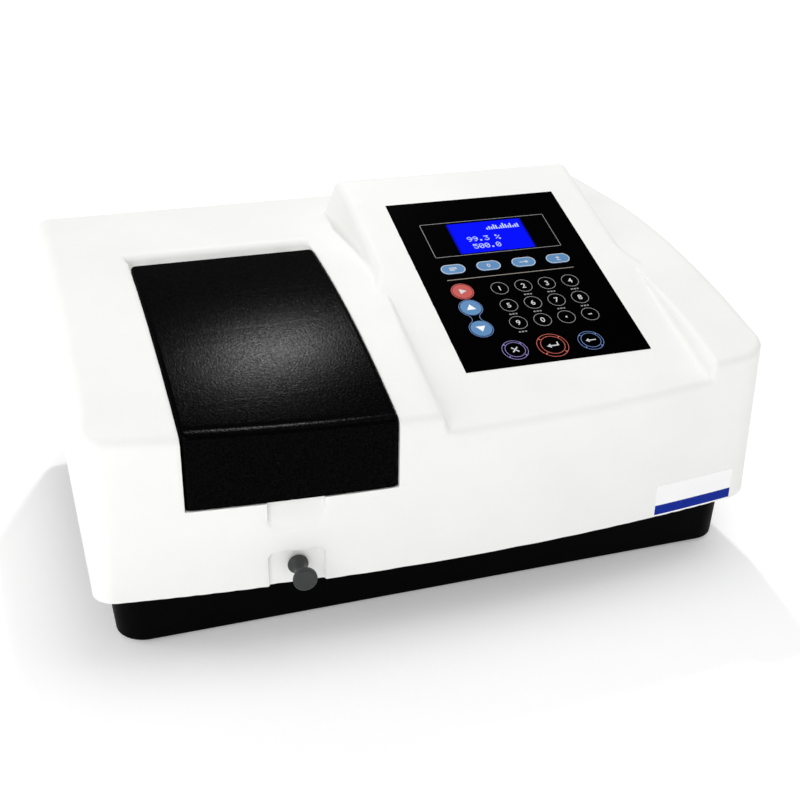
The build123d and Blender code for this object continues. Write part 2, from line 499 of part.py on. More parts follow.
mb = mb + cyly(D - 0.5, D + 0.0, 243.8, 69.0, 2.4) + cyly(D - 0.5, D + 0.0, 267.2, 69.0, 2.4)
mb = mb - box(248, 263, D - 6, D + 1, 65.5, 72.5)
parts["main_board"] = mb.solids()[0]

# ---------------------------------------------------------------- fan
fx0, fx1, fz0, fz1 = FX - FS / 2, FX + FS / 2, FZ - FS / 2, FZ + FS / 2
fy0, fy1 = D - T - 15.0, D - T
ff = box(fx0, fx1, fy0, fy1, fz0, fz1) - cyly(fy0 - 1, fy1 + 1, FX, FZ, 28.0)
ff = ff + cyly(fy1 - 1.6, fy1, FX, FZ, 12.0)
for a in (45, 135, 225, 315):
    ff = ff + Pos(FX, fy1 - 0.8, FZ) * Rot(0, a, 0) * Pos(20, 0, 0) * Box(20, 1.6, 2.4)
ff = ff + cyly(fy1 - 9, fy1 - 1.5, FX, FZ, 3.0)
for sx in (-1, 1):
    for sz in (-1, 1):
        ff = ff - cyly(fy0 - 1, fy1 + 1, FX + sx * 25.5, FZ + sz * 25.5, 2.1)
parts["fan_frame"] = ff.solids().sort_by(SortBy.VOLUME)[-1]
print("fan frame solids", len(ff.solids()))
fr = cyly(fy0 + 1.5, fy1 - 2.4, FX, FZ, 11.5) - cyly(fy1 - 9.2, fy1, FX, FZ, 3.08)
for k in range(7):
    bl = Pos(FX, (fy0 + fy1) / 2 - 0.6, FZ) * Rot(0, k * 360 / 7, 0) * Pos(18.9, 0, 0) * Rot(38, 0, 0) * Box(16.2, 1.2, 11.0)
    fr = fr + bl
parts["fan_rotor"] = fr.solids().sort_by(SortBy.VOLUME)[-1]
print("rotor solids", len(fr.solids()))

# ---------------------------------------------------------------- mains inlet and switch
inl = box(INX - 14, INX + 14, D - 26, D, INZ - 10.4, INZ + 10.4) - box(INX - 11.5, INX + 11.5, D - 18, D + 1, INZ - 8, INZ + 8)
for dx, dz in ((-7, -1.5), (7, -1.5), (0, 3.0)):
    inl = inl + box(INX + dx - 1, INX + dx + 1, D - 18.1, D - 5, INZ + dz - 2, INZ + dz + 2)
inl = inl + box(INX - 17, INX + 17, D - T - 3, D - T, INZ - 13.5, INZ + 13.5) - box(INX - 11.5, INX + 11.5, D - 18, D + 1, INZ - 8, INZ + 8)
for dx, dz in ((-7, -1.5), (7, -1.5), (0, 3.0)):
    inl = inl + box(INX + dx - 1, INX + dx + 1, D - 18.1, D - 5, INZ + dz - 2, INZ + dz + 2)
parts["power_inlet"] = inl.solids().sort_by(SortBy.VOLUME)[-1]
# switch body
sb = box(SWX - 6.6, SWX + 6.6, D - 22, D, SWZ - 10.6, SWZ + 10.6) - box(SWX - 5.0, SWX + 5.0, D - 14, D + 1, SWZ - 9.0, SWZ + 9.0)
sb = sb + box(SWX - 9.5, SWX + 9.5, D - T - 3, D - T, SWZ - 13.5, SWZ + 13.5) - box(SWX - 5.0, SWX + 5.0, D - 14, D + 1, SWZ - 9.0, SWZ + 9.0)
parts["switch_body"] = sb.solids().sort_by(SortBy.VOLUME)[-1]
RKY, RKT = D - 7.0, 7.0
rk = cylx(SWX - 4.7, SWX + 4.7, RKY, SWZ, 5.0) + box(SWX - 4.7, SWX + 4.7, RKY, RKY + 5.2, SWZ - 7.6, SWZ + 7.6)
rk = rk.rotate(Axis((SWX, RKY, SWZ), (1, 0, 0)), -RKT)
parts["power_switch"] = rk.solids()[0]

# ---------------------------------------------------------------- control panel, LCD, keys
cp = pbox(MX0, MX1, MV0, MV1, -0.9, 0.1)
cp = cp - pbox(LCD[0], LCD[1], LCD[2], LCD[3], -2, 2)
KC = 0.2
for n, (k, x, v, a, b) in keys.items():
    cp = cp - (pcyl(x, v, -2, 2, a + KC) if k == "round" else ppill(x, v, -2, 2, a + 2 * KC, b + 2 * KC))
for x, v in ((248, 60), (362, 60), (248, 156), (362, 156), (248, 108), (362, 108)):
    cp = cp + pcyl(x, v, -2.0, -0.85, 2.0)
parts["control_panel"] = cp.solids().sort_by(SortBy.VOLUME)[-1]
print("panel solids", len(cp.solids()))
parts["keypad_board"] = pbox(243.5, 367.0, 55.0, 159.5, -3.6, -2.0)
lm = pbox(268, 342.5, 161.0, 207.0, -4.4, -0.9) + pbox(262, 348.5, 160.5, 212.0, -6.0, -4.3)
lm = lm + pbox(LCD[0] + 0.15, LCD[1] - 0.15, LCD[2] + 0.15, LCD[3] - 0.15, -1.0, 0.0)
lm = lm + pbox(300, 322, 166, 184, -8.4, -5.9)
parts["lcd_module"] = lm.solids()[0]
for n, (k, x, v, a, b) in keys.items():
    s = pcyl(x, v, -1.3, 0.45, a) if k == "round" else ppill(x, v, -1.3, 0.45, a, b)
    parts[n] = s

# ---------------------------------------------------------------- write
bb = Compound(children=[Pos(0, 0, 0) * p for p in parts.values()]).bounding_box()
print("frame box", bb.min, bb.max)
for n, p in parts.items():
    q = Pos(-OX, -OY, OZ) * p
    export_step(q, "parts/%s.step" % n)
print(len(parts), "parts")
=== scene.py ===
import math

import bmesh
import bpy
import numpy as np
from mathutils import Matrix, Vector


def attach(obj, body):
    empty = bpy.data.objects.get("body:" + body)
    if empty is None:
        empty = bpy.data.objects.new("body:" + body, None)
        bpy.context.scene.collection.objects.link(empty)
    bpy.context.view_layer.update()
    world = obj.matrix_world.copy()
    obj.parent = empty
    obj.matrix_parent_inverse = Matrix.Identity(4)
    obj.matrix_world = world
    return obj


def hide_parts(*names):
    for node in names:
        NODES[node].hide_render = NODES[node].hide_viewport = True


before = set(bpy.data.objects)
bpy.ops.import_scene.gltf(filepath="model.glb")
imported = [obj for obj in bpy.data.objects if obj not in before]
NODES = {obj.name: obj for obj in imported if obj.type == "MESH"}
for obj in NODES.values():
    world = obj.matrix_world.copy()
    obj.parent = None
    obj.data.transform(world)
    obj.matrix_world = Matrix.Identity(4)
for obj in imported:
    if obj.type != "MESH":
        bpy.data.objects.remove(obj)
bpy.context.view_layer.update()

# ------------------------------------------------------------------ numbers shared with the CAD (mm)
# Working frame: x = 0 at the base's left side, y = 0 at its front bottom edge, z = 0 at its underside.
OX, OY, OZ = 220.0, 120.1, 4.0
W, BASE_D, BASE_H, BASE_R = 440.0, 287.0, 45.6, 20.0
HB, E_BOT, E_SLOPE = 45.94, 13.78, 0.020
Y0, BOW, D = -19.1, 17.27, 294.16
T = 3.0
H1, YT, RB = 198.47, 228.12, 743.51
ZF, SL = 139.33, 0.370
AL = math.atan(SL)
XL, XR, YLR, ZLB, LIDP, LT = 44.94, 176.26, 164.0, 106.7, 1.6, 2.5
TR0, TR1, TRZ = 164.6, 180.2, 185.0
HY, HZ, KR = 171.6, 190.2, 3.2
MX0, MX1, MV0, MV1 = 237.5, 373.1, 49.1, 229.8
XCELL, ROD_Z = 111.0, 61.0
FX, FZ = 408.0, 96.0
INX, INZ, SWX, SWZ = 60.0, 96.0, 104.0, 96.0


def row(p):
    p = np.asarray(p, float)
    return (p - np.array([OX, OY, -OZ])) / 1000.0


def panel(x, v, w):
    """Console-local (x, up the slope, out of it) to the working frame."""
    ca, sa = math.cos(AL), math.sin(AL)
    return np.stack(np.broadcast_arrays(x, -36 + v * ca - w * sa, ZF + v * sa + w * ca), -1)


# ------------------------------------------------------------------ smooth solids from distance fields
def rint(a, b, r):
    """Intersection with a convex edge of radius r."""
    return np.minimum(np.maximum(a, b), -r) + np.hypot(np.maximum(a + r, 0), np.maximum(b + r, 0))


def runi(a, b, r):
    """Union with a concave fillet of radius r."""
    return -rint(-a, -b, r)


def rsub(a, b, r):
    return rint(a, -b, r)


def sbox(x, y, z, b, r=0.0):
    x0, x1, y0, y1, z0, z1 = b
    qx = np.abs(x - (x0 + x1) / 2) - (x1 - x0) / 2 + r
    qy = np.abs(y - (y0 + y1) / 2) - (y1 - y0) / 2 + r
    qz = np.abs(z - (z0 + z1) / 2) - (z1 - z0) / 2 + r
    out = np.sqrt(np.maximum(qx, 0) ** 2 + np.maximum(qy, 0) ** 2 + np.maximum(qz, 0) ** 2)
    return out + np.minimum(np.maximum(np.maximum(qx, qy), qz), 0) - r


def rect2(a, b, c, r):
    """Rounded rectangle in two of the coordinates; c = (a0, a1, b0, b1)."""
    qa = np.abs(a - (c[0] + c[1]) / 2) - (c[1] - c[0]) / 2 + r
    qb = np.abs(b - (c[2] + c[3]) / 2) - (c[3] - c[2]) / 2 + r
    return np.hypot(np.maximum(qa, 0), np.maximum(qb, 0)) + np.minimum(np.maximum(qa, qb), 0) - r


def sstep(a, b, t):
    u = np.clip((t - a) / (b - a), 0, 1)
    return u * u * (3 - 2 * u)


def lines(*runs):
    """Grid lines: start, then (end, step) runs."""
    out = [runs[0]]
    for end, step in runs[1:]:
        n = max(1, int(round((end - out[-1]) / step)))
        out += list(out[-1] + (end - out[-1]) * (np.arange(n) + 1) / n)
    return np.array(out) + 0.0137


def contour(f, gx, gy, gz):
    """Dual contouring of f = 0 on a rectilinear grid: vertices land on sharp edges, quads elsewhere."""
    F = f(gx[:, None, None], gy[None, :, None], gz[None, None, :])
    F = np.ascontiguousarray(np.broadcast_to(F, (len(gx), len(gy), len(gz))), dtype=np.float32)
    S = F < 0
    n = F.shape
    g = (gx, gy, gz)
    pts, nrm, cells, quads, flips = [], [], [], [], []
    eps = 0.02
    base = 0
    for ax in range(3):
        a = [slice(None)] * 3
        b = [slice(None)] * 3
        a[ax], b[ax] = slice(0, -1), slice(1, None)
        idx = np.argwhere(S[tuple(a)] != S[tuple(b)])
        o1, o2 = (ax + 1) % 3, (ax + 2) % 3
        ok = (idx[:, o1] > 0) & (idx[:, o1] < n[o1] - 1) & (idx[:, o2] > 0) & (idx[:, o2] < n[o2] - 1)
        idx = idx[ok]
        p0 = np.stack([g[k][idx[:, k]] for k in range(3)], 1)
        p1 = p0.copy()
        p1[:, ax] = g[ax][idx[:, ax] + 1]
        jdx = idx.copy()
        jdx[:, ax] += 1
        f0 = F[tuple(idx.T)].astype(float)
        f1 = F[tuple(jdx.T)].astype(float)
        lo, hi = np.zeros(len(idx)), np.ones(len(idx))
        s0 = f0 < 0
        t = np.clip(f0 / (f0 - f1), 0.001, 0.999)
        for it in range(7):
            p = p0 + (p1 - p0) * t[:, None]
            ft = f(p[:, 0], p[:, 1], p[:, 2])
            same = (ft < 0) == s0
            lo = np.where(same, t, lo)
            f0 = np.where(same, ft, f0)
            hi = np.where(same, hi, t)
            f1 = np.where(same, f1, ft)
            sec = lo + (hi - lo) * np.clip(f0 / (f0 - f1 + 1e-30), 0.0, 1.0)
            t = np.where(it % 2 == 1, (lo + hi) / 2, np.clip(sec, lo + 0.02 * (hi - lo), hi - 0.02 * (hi - lo)))
        p = p0 + (p1 - p0) * t[:, None]
        gr = np.stack([
            f(p[:, 0] + eps, p[:, 1], p[:, 2]) - f(p[:, 0] - eps, p[:, 1], p[:, 2]),
            f(p[:, 0], p[:, 1] + eps, p[:, 2]) - f(p[:, 0], p[:, 1] - eps, p[:, 2]),
            f(p[:, 0], p[:, 1], p[:, 2] + eps) - f(p[:, 0], p[:, 1], p[:, 2] - eps)], 1)
        gr /= np.maximum(np.linalg.norm(gr, axis=1, keepdims=True), 1e-12)
        c = []
        for d1, d2 in ((-1, -1), (0, -1), (0, 0), (-1, 0)):
            q = idx.copy()
            q[:, o1] += d1
            q[:, o2] += d2
            c.append((q[:, 0] * n[1] + q[:, 1]) * n[2] + q[:, 2])
        c = np.stack(c, 1)
        pts.append(p)
        nrm.append(gr)
        cells.append(c)
        flips.append(~s0)
    P, N, C, FL = np.concatenate(pts), np.concatenate(nrm), np.concatenate(cells), np.concatenate(flips)
    ids, inv = np.unique(C.ravel(), return_inverse=True)
    inv = inv.reshape(C.shape)
    m = len(ids)
    rep = np.repeat(np.arange(len(P)), 4)
    fl = inv.ravel()
    cnt = np.bincount(fl, minlength=m).astype(float)
    Pm = np.stack([np.bincount(fl, P[rep, k], m) for k in range(3)], 1) / cnt[:, None]
    A = np.zeros((m, 3, 3))
    B = np.zeros((m, 3))
    q = P[rep] - Pm[fl]
    d = np.einsum("ij,ij->i", N[rep], q)
    for i in range(3):
        B[:, i] = np.bincount(fl, N[rep, i] * d, m)
        for j in range(i, 3):
            A[:, i, j] = A[:, j, i] = np.bincount(fl, N[rep, i] * N[rep, j], m)
    A += np.eye(3) * (0.008 * cnt)[:, None, None]
    X = np.linalg.solve(A, B[:, :, None])[:, :, 0] + Pm
    k = ids % n[2]
    j = (ids // n[2]) % n[1]
    i = ids // (n[1] * n[2])
    for ax, q in enumerate((i, j, k)):
        a, b = g[ax][q], g[ax][q + 1]
        X[:, ax] = np.clip(X[:, ax], a + 0.02 * (b - a), b - 0.02 * (b - a))
    quads = inv.copy()
    quads[FL] = quads[FL][:, ::-1]
    return X, quads


def mesh_obj(name, verts, faces, mats=(), smooth=True, sharp=40.0, idx=None):
    me = bpy.data.meshes.new(name)
    verts = np.asarray(verts, float)
    if isinstance(faces, np.ndarray):
        me.vertices.add(len(verts))
        me.vertices.foreach_set("co", verts.ravel().astype(np.float32))
        k = faces.shape[1]
        me.loops.add(faces.size)
        me.loops.foreach_set("vertex_index", faces.ravel().astype(np.int32))
        me.polygons.add(len(faces))
        me.polygons.foreach_set("loop_start", (np.arange(len(faces)) * k).astype(np.int32))
        me.update(calc_edges=True)
    else:
        me.from_pydata([tuple(v) for v in verts], [], [tuple(f) for f in faces])
    me.validate()
    ob = bpy.data.objects.new(name, me)
    bpy.context.scene.collection.objects.link(ob)
    for m in mats:
        me.materials.append(m)
    if idx is not None:
        me.polygons.foreach_set("material_index", np.asarray(idx, np.int32))
    if smooth:
        me.polygons.foreach_set("use_smooth", np.ones(len(me.polygons), bool))
        if sharp:
            me.set_sharp_from_angle(angle=math.radians(sharp))
    return ob


def drop_loose(ob, keep=200):
    """Removes specks that a grid can leave."""
    bm = bmesh.new()
    bm.from_mesh(ob.data)
    seen, kill = set(), []
    for v in bm.verts:
        if v in seen:
            continue
        st, comp = [v], []
        seen.add(v)
        while st:
            a = st.pop()
            comp.append(a)
            for e in a.link_edges:
                b = e.other_vert(a)
                if b not in seen:
                    seen.add(b)
                    st.append(b)
        if len(comp) < keep:
            kill += comp
    if kill:
        bmesh.ops.delete(bm, geom=kill, context="VERTS")
        bm.to_mesh(ob.data)
    bm.free()


# ------------------------------------------------------------------ materials
def new_mat(name):
    m = bpy.data.materials.new(name)
    m.use_nodes = True
    nt = m.node_tree
    nt.nodes.clear()
    out = nt.nodes.new("ShaderNodeOutputMaterial")
    bs = nt.nodes.new("ShaderNodeBsdfPrincipled")
    nt.links.new(bs.outputs["BSDF"], out.inputs["Surface"])
    return m, nt, bs


def noise(nt, vec, scale, detail=3.0, rough=0.5, dist=0.0):
    n = nt.nodes.new("ShaderNodeTexNoise")
    n.inputs["Scale"].default_value = scale
    n.inputs["Detail"].default_value = detail
    n.inputs["Roughness"].default_value = rough
    n.inputs["Distortion"].default_value = dist
    nt.links.new(vec, n.inputs["Vector"])
    return n.outputs["Fac"]


def ramp(nt, fac, stops):
    r = nt.nodes.new("ShaderNodeValToRGB")
    el = r.color_ramp.elements
    while len(el) < len(stops):
        el.new(0.5)
    for e, (p, c) in zip(el, stops):
        e.position = p
        e.color = (*c, 1) if len(c) == 3 else c
    nt.links.new(fac, r.inputs["Fac"])
    return r.outputs["Color"]


def mrange(nt, fac, a, b, c, d):
    m = nt.nodes.new("ShaderNodeMapRange")
    for k, v in (("From Min", a), ("From Max", b), ("To Min", c), ("To Max", d)):
        m.inputs[k].default_value = v
    nt.links.new(fac, m.inputs["Value"])
    return m.outputs["Result"]


def bump(nt, height, strength, dist, normal=None):
    b = nt.nodes.new("ShaderNodeBump")
    b.inputs["Strength"].default_value = strength
    b.inputs["Distance"].default_value = dist
    nt.links.new(height, b.inputs["Height"])
    if normal is not None:
        nt.links.new(normal, b.inputs["Normal"])
    return b.outputs["Normal"]


def objco(nt, scale=(1, 1, 1)):
    t = nt.nodes.new("ShaderNodeTexCoord")
    if scale == (1, 1, 1):
        return t.outputs["Object"]
    m = nt.nodes.new("ShaderNodeMapping")
    m.inputs["Scale"].default_value = scale
    nt.links.new(t.outputs["Object"], m.inputs["Vector"])
    return m.outputs["Vector"]


def surface(name, c0, c1, rough=(0.35, 0.45), spec=0.5, metal=0.0, grain=0.0, grain_scale=3000.0,
            wave=0.0, blotch=14.0, coat=0.0, stretch=(1, 1, 1), fine=None):
    """Plastic or metal: slow colour variation, roughness variation, a fine grain in the surface."""
    m, nt, bs = new_mat(name)
    co = objco(nt)
    big = noise(nt, co, blotch, 4, 0.55)
    nt.links.new(ramp(nt, big, [(0.3, c0), (0.7, c1)]), bs.inputs["Base Color"])
    mid = noise(nt, objco(nt, stretch), 180.0, 4, 0.6)
    nt.links.new(mrange(nt, mid, 0.3, 0.7, rough[0], rough[1]), bs.inputs["Roughness"])
    bs.inputs["Metallic"].default_value = metal
    bs.inputs["Specular IOR Level"].default_value = spec
    if coat:
        bs.inputs["Coat Weight"].default_value = coat
        bs.inputs["Coat Roughness"].default_value = 0.12
    nrm = None
    if wave:
        nrm = bump(nt, noise(nt, co, 35.0, 2, 0.5), wave, 0.0006)
    if grain:
        nrm = bump(nt, noise(nt, objco(nt, stretch), grain_scale, 2, 0.6), grain, 0.00006, nrm)
    if nrm is not None:
        nt.links.new(nrm, bs.inputs["Normal"])
    return m


def grained_black(name, base, spec, rough, bumps, cell=1500.0, coat=0.0):
    """Spark-eroded black plastic: rounded pebbles about half a millimetre across."""
    m, nt, bs = new_mat(name)
    co = objco(nt)
    v = nt.nodes.new("ShaderNodeTexVoronoi")
    v.feature = "SMOOTH_F1"
    v.inputs["Scale"].default_value = cell
    v.inputs["Smoothness"].default_value = 0.6
    nt.links.new(co, v.inputs["Vector"])
    n2 = noise(nt, co, cell * 0.8, 3, 0.6)
    mix = nt.nodes.new("ShaderNodeMath")
    mix.operation = "MULTIPLY_ADD"
    nt.links.new(v.outputs["Distance"], mix.inputs[0])
    mix.inputs[1].default_value = 0.6
    nt.links.new(n2, mix.inputs[2])
    nrm = bump(nt, mix.outputs[0], bumps, 0.088 / cell)
    nt.links.new(nrm, bs.inputs["Normal"])
    if coat:
        nt.links.new(nrm, bs.inputs["Coat Normal"])
        bs.inputs["Coat IOR"].default_value = 1.5
        nt.links.new(mrange(nt, noise(nt, co, 820.0, 1, 0.5), 0.30, 0.70, coat * 0.4, coat * 1.6), bs.inputs["Coat Weight"])
        bs.inputs["Coat Roughness"].default_value = rough
    big = noise(nt, co, 22.0, 4, 0.6)
    b0 = tuple(c * 0.75 for c in base)
    nt.links.new(ramp(nt, big, [(0.3, b0), (0.7, base)]), bs.inputs["Base Color"])
    nt.links.new(mrange(nt, noise(nt, co, 900.0, 2, 0.5), 0.25, 0.75, rough - 0.07, rough + 0.07), bs.inputs["Roughness"])
    bs.inputs["Specular IOR Level"].default_value = spec
    return m


M = {}
M["shell"] = surface("white_shell", (0.865, 0.868, 0.848), (0.90, 0.90, 0.882), (0.46, 0.54), 0.18, grain=0.10, grain_scale=2600, wave=0.02)
M["base"] = grained_black("black_base", (0.0014, 0.0014, 0.0015), 0.02, 0.50, 0.25, 2200)
M["lid"] = grained_black("black_lid", (0.0004, 0.0004, 0.0004), 0.001, 0.19, 0.64, 900, coat=0.047)
M["rubber"] = surface("black_rubber", (0.012, 0.012, 0.012), (0.02, 0.02, 0.02), (0.65, 0.8), 0.25, grain=0.5, grain_scale=900)
M["foam"] = surface("black_foam", (0.010, 0.010, 0.010), (0.022, 0.022, 0.022), (0.85, 0.95), 0.15, grain=1.0, grain_scale=1500)
M["steel"] = surface("bright_steel", (0.55, 0.55, 0.56), (0.66, 0.66, 0.67), (0.16, 0.28), 0.5, 1.0, grain=0.15, grain_scale=900, stretch=(6, 0.4, 6))
M["knob"] = surface("knob_plastic", (0.020, 0.023, 0.022), (0.028, 0.031, 0.030), (0.42, 0.52), 0.4, grain=0.25, grain_scale=2200)
M["brass"] = surface("brass_parts", (0.66, 0.46, 0.18), (0.78, 0.58, 0.28), (0.2, 0.32), 0.5, 1.0, grain=0.2, grain_scale=1600)
M["chamber"] = surface("chamber_black", (0.010, 0.010, 0.010), (0.018, 0.018, 0.018), (0.55, 0.7), 0.25, grain=0.6, grain_scale=1400)
M["anod"] = surface("anodised_black", (0.014, 0.014, 0.016), (0.024, 0.024, 0.027), (0.38, 0.5), 0.45, 0.3, grain=0.25, grain_scale=1800)
M["glass"] = surface("lens_glass", (0.75, 0.85, 0.92), (0.82, 0.9, 0.95), (0.04, 0.08), 0.6)
M["cast"] = surface("cast_aluminium", (0.46, 0.47, 0.48), (0.62, 0.63, 0.64), (0.38, 0.55), 0.5, 1.0, grain=0.6, grain_scale=700)
M["mirror"] = surface("mirror_coat", (0.82, 0.83, 0.85), (0.86, 0.87, 0.89), (0.03, 0.06), 0.5, 1.0)
M["motor"] = surface("motor_steel", (0.05, 0.05, 0.055), (0.08, 0.08, 0.085), (0.35, 0.48), 0.5, 0.6, grain=0.3, grain_scale=1200)
M["sheet"] = surface("sheet_steel", (0.52, 0.54, 0.55), (0.70, 0.71, 0.72), (0.3, 0.45), 0.5, 1.0, grain=0.25, grain_scale=500, blotch=90)
M["lamp"] = surface("lamp_glass", (0.80, 0.84, 0.88), (0.86, 0.89, 0.92), (0.05, 0.1), 0.6)
M["board"] = surface("board_green", (0.012, 0.11, 0.045), (0.02, 0.16, 0.065), (0.28, 0.4), 0.5, grain=0.3, grain_scale=800)
M["fan"] = surface("fan_black", (0.012, 0.012, 0.012), (0.02, 0.02, 0.02), (0.4, 0.5), 0.4, grain=0.3, grain_scale=1800)
M["inlet"] = surface("inlet_black", (0.012, 0.012, 0.012), (0.018, 0.018, 0.018), (0.34, 0.46), 0.45, grain=0.2, grain_scale=2400)
M["panel"] = surface("panel_black", (0.0002, 0.0002, 0.0002), (0.0003, 0.0003, 0.0004), (0.30, 0.33), 0.003)
M["kblue"] = surface("key_blue", (0.075, 0.215, 0.44), (0.088, 0.245, 0.49), (0.3, 0.4), 0.3, grain=0.08, grain_scale=1800)
M["kred"] = surface("key_red", (0.50, 0.065, 0.055), (0.56, 0.078, 0.066), (0.3, 0.4), 0.3, grain=0.08, grain_scale=1800)
M["kblack"] = surface("key_black", (0.0002, 0.0002, 0.0002), (0.0003, 0.0003, 0.0004), (0.30, 0.33), 0.003)
M["ink"] = surface("white_ink", (0.60, 0.61, 0.62), (0.68, 0.69, 0.70), (0.4, 0.5), 0.3, blotch=300)
M["inkgrey"] = surface("grey_ink", (0.26, 0.26, 0.26), (0.34, 0.34, 0.33), (0.4, 0.5), 0.3, blotch=300)
M["inktan"] = surface("tan_ink", (0.30, 0.27, 0.22), (0.36, 0.33, 0.27), (0.4, 0.5), 0.3, blotch=300)
M["inkwhite"] = surface("bright_ink", (0.86, 0.88, 0.90), (0.92, 0.93, 0.95), (0.4, 0.5), 0.3, blotch=300)
M["inkblue"] = surface("blue_ink", (0.13, 0.22, 0.50), (0.17, 0.27, 0.58), (0.4, 0.5), 0.3, blotch=300)
M["inkviolet"] = surface("violet_ink", (0.26, 0.20, 0.52), (0.32, 0.26, 0.60), (0.4, 0.5), 0.3, blotch=300)
M["inkred"] = surface("red_ink", (0.62, 0.10, 0.07), (0.70, 0.14, 0.10), (0.4, 0.5), 0.3, blotch=300)
M["paper"] = surface("label_white", (0.955, 0.955, 0.955), (0.97, 0.97, 0.97), (0.45, 0.55), 0.05, blotch=60)
M["band"] = surface("label_blue", (0.0035, 0.020, 0.27), (0.0045, 0.024, 0.30), (0.45, 0.55), 0.05, blotch=60)


def display(name, base, glow, strength, pitch=1 / 0.00046, x0=(275.2 - OX) / 1000, x1=(335.2 - OX) / 1000):
    """Backlit display: the dot grid of the cell shows faintly in the glow."""
    m, nt, bs = new_mat(name)
    co = objco(nt)
    sep = nt.nodes.new("ShaderNodeSeparateXYZ")
    nt.links.new(co, sep.inputs[0])
    outs = []
    for a in ("X", "Y"):
        mul = nt.nodes.new("ShaderNodeMath")
        mul.operation = "MULTIPLY"
        mul.inputs[1].default_value = pitch
        nt.links.new(sep.outputs[a], mul.inputs[0])
        pp = nt.nodes.new("ShaderNodeMath")
        pp.operation = "PINGPONG"
        pp.inputs[1].default_value = 0.5
        nt.links.new(mul.outputs[0], pp.inputs[0])
        outs.append(pp.outputs[0])
    mn = nt.nodes.new("ShaderNodeMath")
    mn.operation = "MINIMUM"
    nt.links.new(outs[0], mn.inputs[0])
    nt.links.new(outs[1], mn.inputs[1])
    fac = mrange(nt, mn.outputs[0], 0.0, 0.14, 0.0, 1.0)
    dark = tuple(c * 0.8 for c in glow)
    nt.links.new(ramp(nt, fac, [(0.0, dark), (1.0, glow)]), bs.inputs["Emission Color"])
    ed = nt.nodes.new("ShaderNodeMath")
    ed.operation = "MINIMUM"
    nt.links.new(mrange(nt, sep.outputs["X"], x0, x0 + 0.0024, 0.06, 1.0), ed.inputs[0])
    nt.links.new(mrange(nt, sep.outputs["X"], x1, x1 - 0.0024, 0.06, 1.0), ed.inputs[1])
    sm = nt.nodes.new("ShaderNodeMath")
    sm.operation = "MULTIPLY"
    sm.inputs[1].default_value = strength
    nt.links.new(ed.outputs[0], sm.inputs[0])
    nt.links.new(sm.outputs[0], bs.inputs["Emission Strength"])
    nt.links.new(ramp(nt, noise(nt, co, 60, 2), [(0.3, tuple(c * 0.9 for c in base)), (0.7, base)]), bs.inputs["Base Color"])
    bs.inputs["Roughness"].default_value = 0.2
    bs.inputs["Specular IOR Level"].default_value = 0.01
    return m


M["lcd"] = display("display_blue", (0.001, 0.002, 0.16), (0.0, 0.003, 0.88), 1.0)
M["lcdtext"] = display("display_text", (0.3, 0.36, 0.7), (0.40, 0.46, 1.0), 0.75)

SL_OF = dict(
    top_cover="shell", base_tray="base", rubber_feet="rubber", cover_screws="steel", sample_chamber="chamber",
    chamber_seal="foam", chamber_windows="glass", carriage_rails="steel", hinge_pin="steel", lid="lid",
    cell_carriage="anod", pull_rod="steel", rod_knob="knob", rod_bush="shell", monochromator_box="cast",
    monochromator_lid="cast", grating_turret="anod", diffraction_grating="mirror", lead_screw="steel",
    drive_nut="brass", grating_motor="motor", concave_mirrors="mirror", filter_wheel="anod", filter_motor="motor",
    lamp_house="sheet", halogen_lamp="lamp", deuterium_lamp="lamp", detector_housing="anod", main_board="board",
    power_supply="sheet", fan_frame="fan", fan_rotor="fan", power_inlet="inlet", switch_body="inlet",
    power_switch="inlet", control_panel="panel", lcd_module="lcd", keypad_board="board")
for n, o in NODES.items():
    key = SL_OF.get(n)
    if key is None:
        key = "kblue" if n in ("key_f1", "key_f2", "key_f3", "key_f4", "key_up", "key_down") else \
            "kred" if n == "key_start" else "kblack"
    if not o.data.materials:
        o.data.materials.append(M[key])
    for i in range(len(o.material_slots)):
        o.material_slots[i].material = M[key]


# ------------------------------------------------------------------ the cover
def zcrest(y, off=0.0):
    return H1 + off - np.maximum(0.0, YT - y) ** 2 / (2 * RB)


def f_crest(y, z, off=0.0):
    s = np.maximum(0.0, YT - y) / RB
    return (z - zcrest(y, off)) / np.sqrt(1 + s * s)


def bow_y(x):
    u = (x - W / 2) / (W / 2 + E_BOT)
    return Y0 - BOW * (1 - u * u)


def f_front(x, y, off=0.0):
    s = 2 * BOW * (x - W / 2) / (W / 2 + E_BOT) ** 2
    return (bow_y(x) + off - y) / np.sqrt(1 + s * s)


